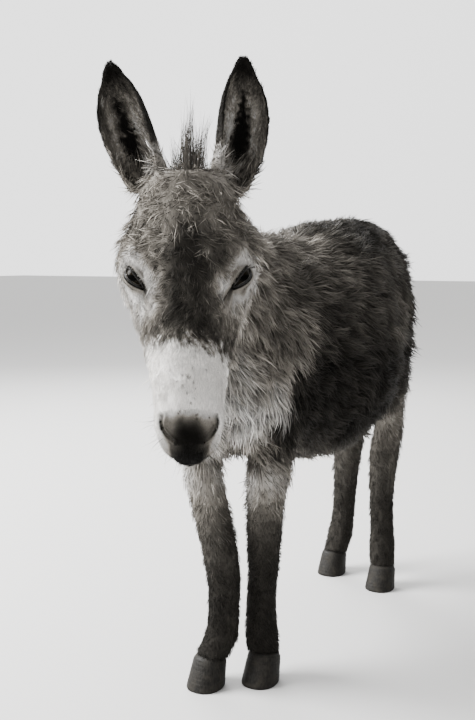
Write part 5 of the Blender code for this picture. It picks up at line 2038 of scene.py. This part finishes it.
# ---- hooves ----
@dataclass(frozen=True)
class Hoof:
    """A small upright hoof with growth rings, a bevelled edge and a coronet band."""

    name: str
    sides: int = 56
    rows: int = 26
    squareness: float = 2.25  # the power of the outline; 2 is an oval
    ring_depth: float = 0.00045
    ring_step: float = 0.0062
    ring_sway: tuple = (1.3, 190.0)  # how far the rings' spacing strays, and how often
    band: float = 0.16  # the share at the top that draws in, and how much it does
    bevel: float = 0.035  # how much the ground edge draws in
    bevel_height: float = 0.003
    slope: float = 0.28  # how much lower the coronet is at the heel, as a share of its height
    buried: float = 0.009  # how far the horn goes up under the hair
    told_at: tuple = (0.006, 0.028)  # the heights at which the solid's width is read
    told_within: float = 0.0015

    def build(self, material: Material) -> Object:
        """Shapes the hoof inside its solid's box."""
        box = [np.array(corner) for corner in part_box(self.name)]
        corners = mesh_points(bpy.data.objects[self.name].data)
        mesh = bmesh.new()
        rows = []
        for k in range(self.rows + 1):
            rows.append([mesh.verts.new(place) for place in self.row(corners, box, k / self.rows)])
        for a, b in zip(rows, rows[1:]):
            for j in range(self.sides):
                i = (j + 1) % self.sides
                mesh.faces.new((a[j], a[i], b[i], b[j]))
        mesh.faces.new(list(reversed(rows[0])))
        mesh.faces.new(rows[-1])
        bmesh.ops.recalc_face_normals(mesh, faces=mesh.faces)
        data = taken_from(mesh, self.name + "_horn")
        data.polygons.foreach_set("use_smooth", [len(p.vertices) == 4 for p in data.polygons])
        data.materials.append(material)
        obj = linked(self.name + "_horn", data)
        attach(obj, BODY)
        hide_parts(self.name)
        LOG.info("%s: %d faces", obj.name, len(data.polygons))
        return obj

    def row(self, corners: Array, box: list[Array], share: float) -> list[tuple]:
        """The places round the hoof at one share of its height."""
        low, high = box
        level = share * (high[2] + self.buried)
        half, middle = self.section(corners, level)
        draw = 1.0 - self.band * max(0.0, (share - (1.0 - self.band)) / self.band) ** 2
        draw -= self.bevel * (1.0 - min(1.0, level / self.bevel_height)) ** 2
        stray = self.ring_sway[0] * math.sin(level * self.ring_sway[1])
        ring = math.sin(level * 2.0 * math.pi / self.ring_step + stray) * self.ring_depth
        places = []
        for j in range(self.sides):
            turn = 2.0 * math.pi * j / self.sides
            out = []
            for i, way in enumerate((math.cos(turn), math.sin(turn))):
                square = math.copysign(abs(way) ** (2.0 / self.squareness), way)
                out.append(middle[i] + square * (half[i] * draw + ring))
            heel = self.slope * (out[1] - low[1]) / (high[1] - low[1])
            places.append((*out, level * (1.0 - heel)))
        return places

    def section(self, corners: Array, level: float) -> Array:
        """The half sizes and the middle of the hoof at one height."""
        found = []
        for height in self.told_at:
            near = corners[np.abs(corners[:, 2] - height) < self.told_within, :2]
            low, high = near.min(axis=0), near.max(axis=0)
            found.append(np.array((high - low, high + low)) / 2.0)
        share = (level - self.told_at[0]) / (self.told_at[1] - self.told_at[0])
        return mixed(*found, share)


HOOVES = ("hoof_fore_left", "hoof_fore_right", "hoof_hind_left", "hoof_hind_right")


# ---- whiskers ----
@dataclass(frozen=True)
class Whiskers:
    """The feelers of the lips and chin."""

    anatomy: Anatomy
    fields: Fields
    count: int = 170
    hairs: SingleHairs = SingleHairs("whiskers", 0.029, 0.00026, 0.007, 0.6, 102)
    hang: float = 0.35
    stray: float = 0.22
    seed: int = 101

    def build(self, material: Material) -> None:
        """Picks the roots on the muzzle and sets the hairs."""
        at = self.fields
        chin = (at.along > 0.80) & (at.front < -0.070)
        lip = (at.along > 0.83) & (np.abs(at.side) > 0.022) & (at.front < -0.030)
        rng = np.random.default_rng(self.seed)
        chosen = rng.choice(np.flatnonzero((chin | lip) & (at.points[:, 2] > 0.5)), self.count, False)
        ways = at.normals[chosen] + self.anatomy.head.down * self.hang
        ways = ways + rng.normal(0, self.stray, ways.shape)
        self.hairs.build(at.points[chosen], ways, material)


# ---- the studio ----
@dataclass(frozen=True)
class Lamp:
    """A soft lamp: where it stands, its size and power."""

    name: str
    place: tuple
    size: float
    power: float

    def build(self, aim: Array) -> None:
        """Hangs the lamp and turns it to the aim."""
        data = bpy.data.lights.new(self.name, "AREA")
        data.shape = "DISK"
        data.size, data.energy = self.size, self.power
        lamp = bpy.data.objects.new(self.name, data)
        bpy.context.scene.collection.objects.link(lamp)
        at = np.array(self.place)
        lamp.location = at.tolist()
        lamp.rotation_euler = Vector((aim - at).tolist()).to_track_quat("-Z", "Y").to_euler()


@dataclass(frozen=True)
class Studio:
    """Camera, floor and soft light."""

    camera_place: tuple = (0.86514, -1.62631, 0.8146)
    camera_turn: float = 31.0
    camera_pitch: float = 6.46
    lens: float = 45.0
    nearest: float = 0.05  # how close to the camera a thing may be
    floor_size: float = 60.0
    aim: tuple = (0.0, 0.0, 0.6)
    glow: tuple = (-0.86, 0.36, 0.36)  # the brightest side of the soft light all round
    dimmest: float = 0.29
    brightest: float = 2.5
    lamps: tuple = (
        Lamp("key", (-3.0, -1.5, 3.0), 2.6, 760.0),
        Lamp("fill", (3.0, -2.6, 1.8), 3.0, 20.0),
        Lamp("rim", (-2.2, 2.6, 2.8), 2.4, 200.0),
    )

    def build(self) -> None:
        """Sets the studio up."""
        self.camera()
        self.floor()
        self.light_all_round()
        for lamp in self.lamps:
            lamp.build(np.array(self.aim))

    def camera(self) -> None:
        """Sets the camera in its place and makes it the scene's."""
        camera = bpy.data.objects.new("camera", bpy.data.cameras.new("camera"))
        bpy.context.scene.collection.objects.link(camera)
        camera.data.lens = self.lens
        camera.data.clip_start = self.nearest
        camera.location = self.camera_place
        camera.rotation_euler = (math.radians(90.0 - self.camera_pitch), 0.0,
                                 math.radians(self.camera_turn))
        bpy.context.scene.camera = camera

    def floor(self) -> None:
        """Lays the floor."""
        mesh = bpy.data.meshes.new("floor")
        half = self.floor_size / 2.0
        corners = [(-half, -half, 0), (half, -half, 0), (half, half, 0), (-half, half, 0)]
        mesh.from_pydata(corners, [], [(0, 1, 2, 3)])
        mesh.materials.append(FloorFinish().material())
        floor = linked("floor", mesh)

    def light_all_round(self) -> None:
        """Lights the scene from all round, most from the brightest side."""
        world = bpy.data.worlds.new("studio")
        bpy.context.scene.world = world
        world.use_nodes = True
        tree = Tree(world.node_tree)
        way = tree.add("ShaderNodeTexCoord").outputs["Generated"]
        glow = unit(np.array(self.glow)).tolist()
        toward = tree.add("ShaderNodeVectorMath", {0: way, 1: glow}, operation="DOT_PRODUCT")
        strength = tree.add("ShaderNodeMapRange", {
            "Value": toward.outputs["Value"], "From Min": -0.6, "From Max": 0.9,
            "To Min": self.dimmest, "To Max": self.brightest,
        }, interpolation_type="SMOOTHSTEP")
        back = world.node_tree.nodes["Background"]
        tree.feed((1.0, 1.0, 1.0, 1.0), back.inputs["Color"])
        tree.feed(strength.outputs["Result"], back.inputs["Strength"])


# ---- the whole ----
def main() -> None:
    """Builds the donkey and its studio."""
    logging.basicConfig(level=logging.INFO, format="%(relativeCreated)7d %(message)s")
    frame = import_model()
    LOG.info("%d solids", len(frame["nodes"]))
    anatomy = Anatomy()
    Studio().build()
    markings = Markings()
    skin = Skin(anatomy)
    skin.build()
    skin.dress(markings)
    LOG.info("skin: %d triangles", len(skin.piece.data.polygons))
    hair = CoatFinish().material()
    for piece in Coat(anatomy, skin).build():
        piece.data.materials.append(hair)
        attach(piece, BODY)
    Mane().build(hair)
    Forelock(anatomy).build(hair)
    Switch().build(hair)
    lid = LidFinish().material()
    # the wet line's pale grey is partly a painted highlight; its gloss reflects for real
    wet = LidFinish("tear_line", 0.10, 0.05, 1.0).material()
    dark = LidFinish("dark_hair", 0.012).material()
    for eye, name in zip(EyeFrame.both(anatomy.head), ("left", "right")):
        Eye(eye, name).build(lid, wet, dark)
    horn = HornFinish().material()
    for name in HOOVES:
        Hoof(name).build(horn)
    Whiskers(anatomy, skin.fields).build(dark)


if __name__ == "__main__":
    main()
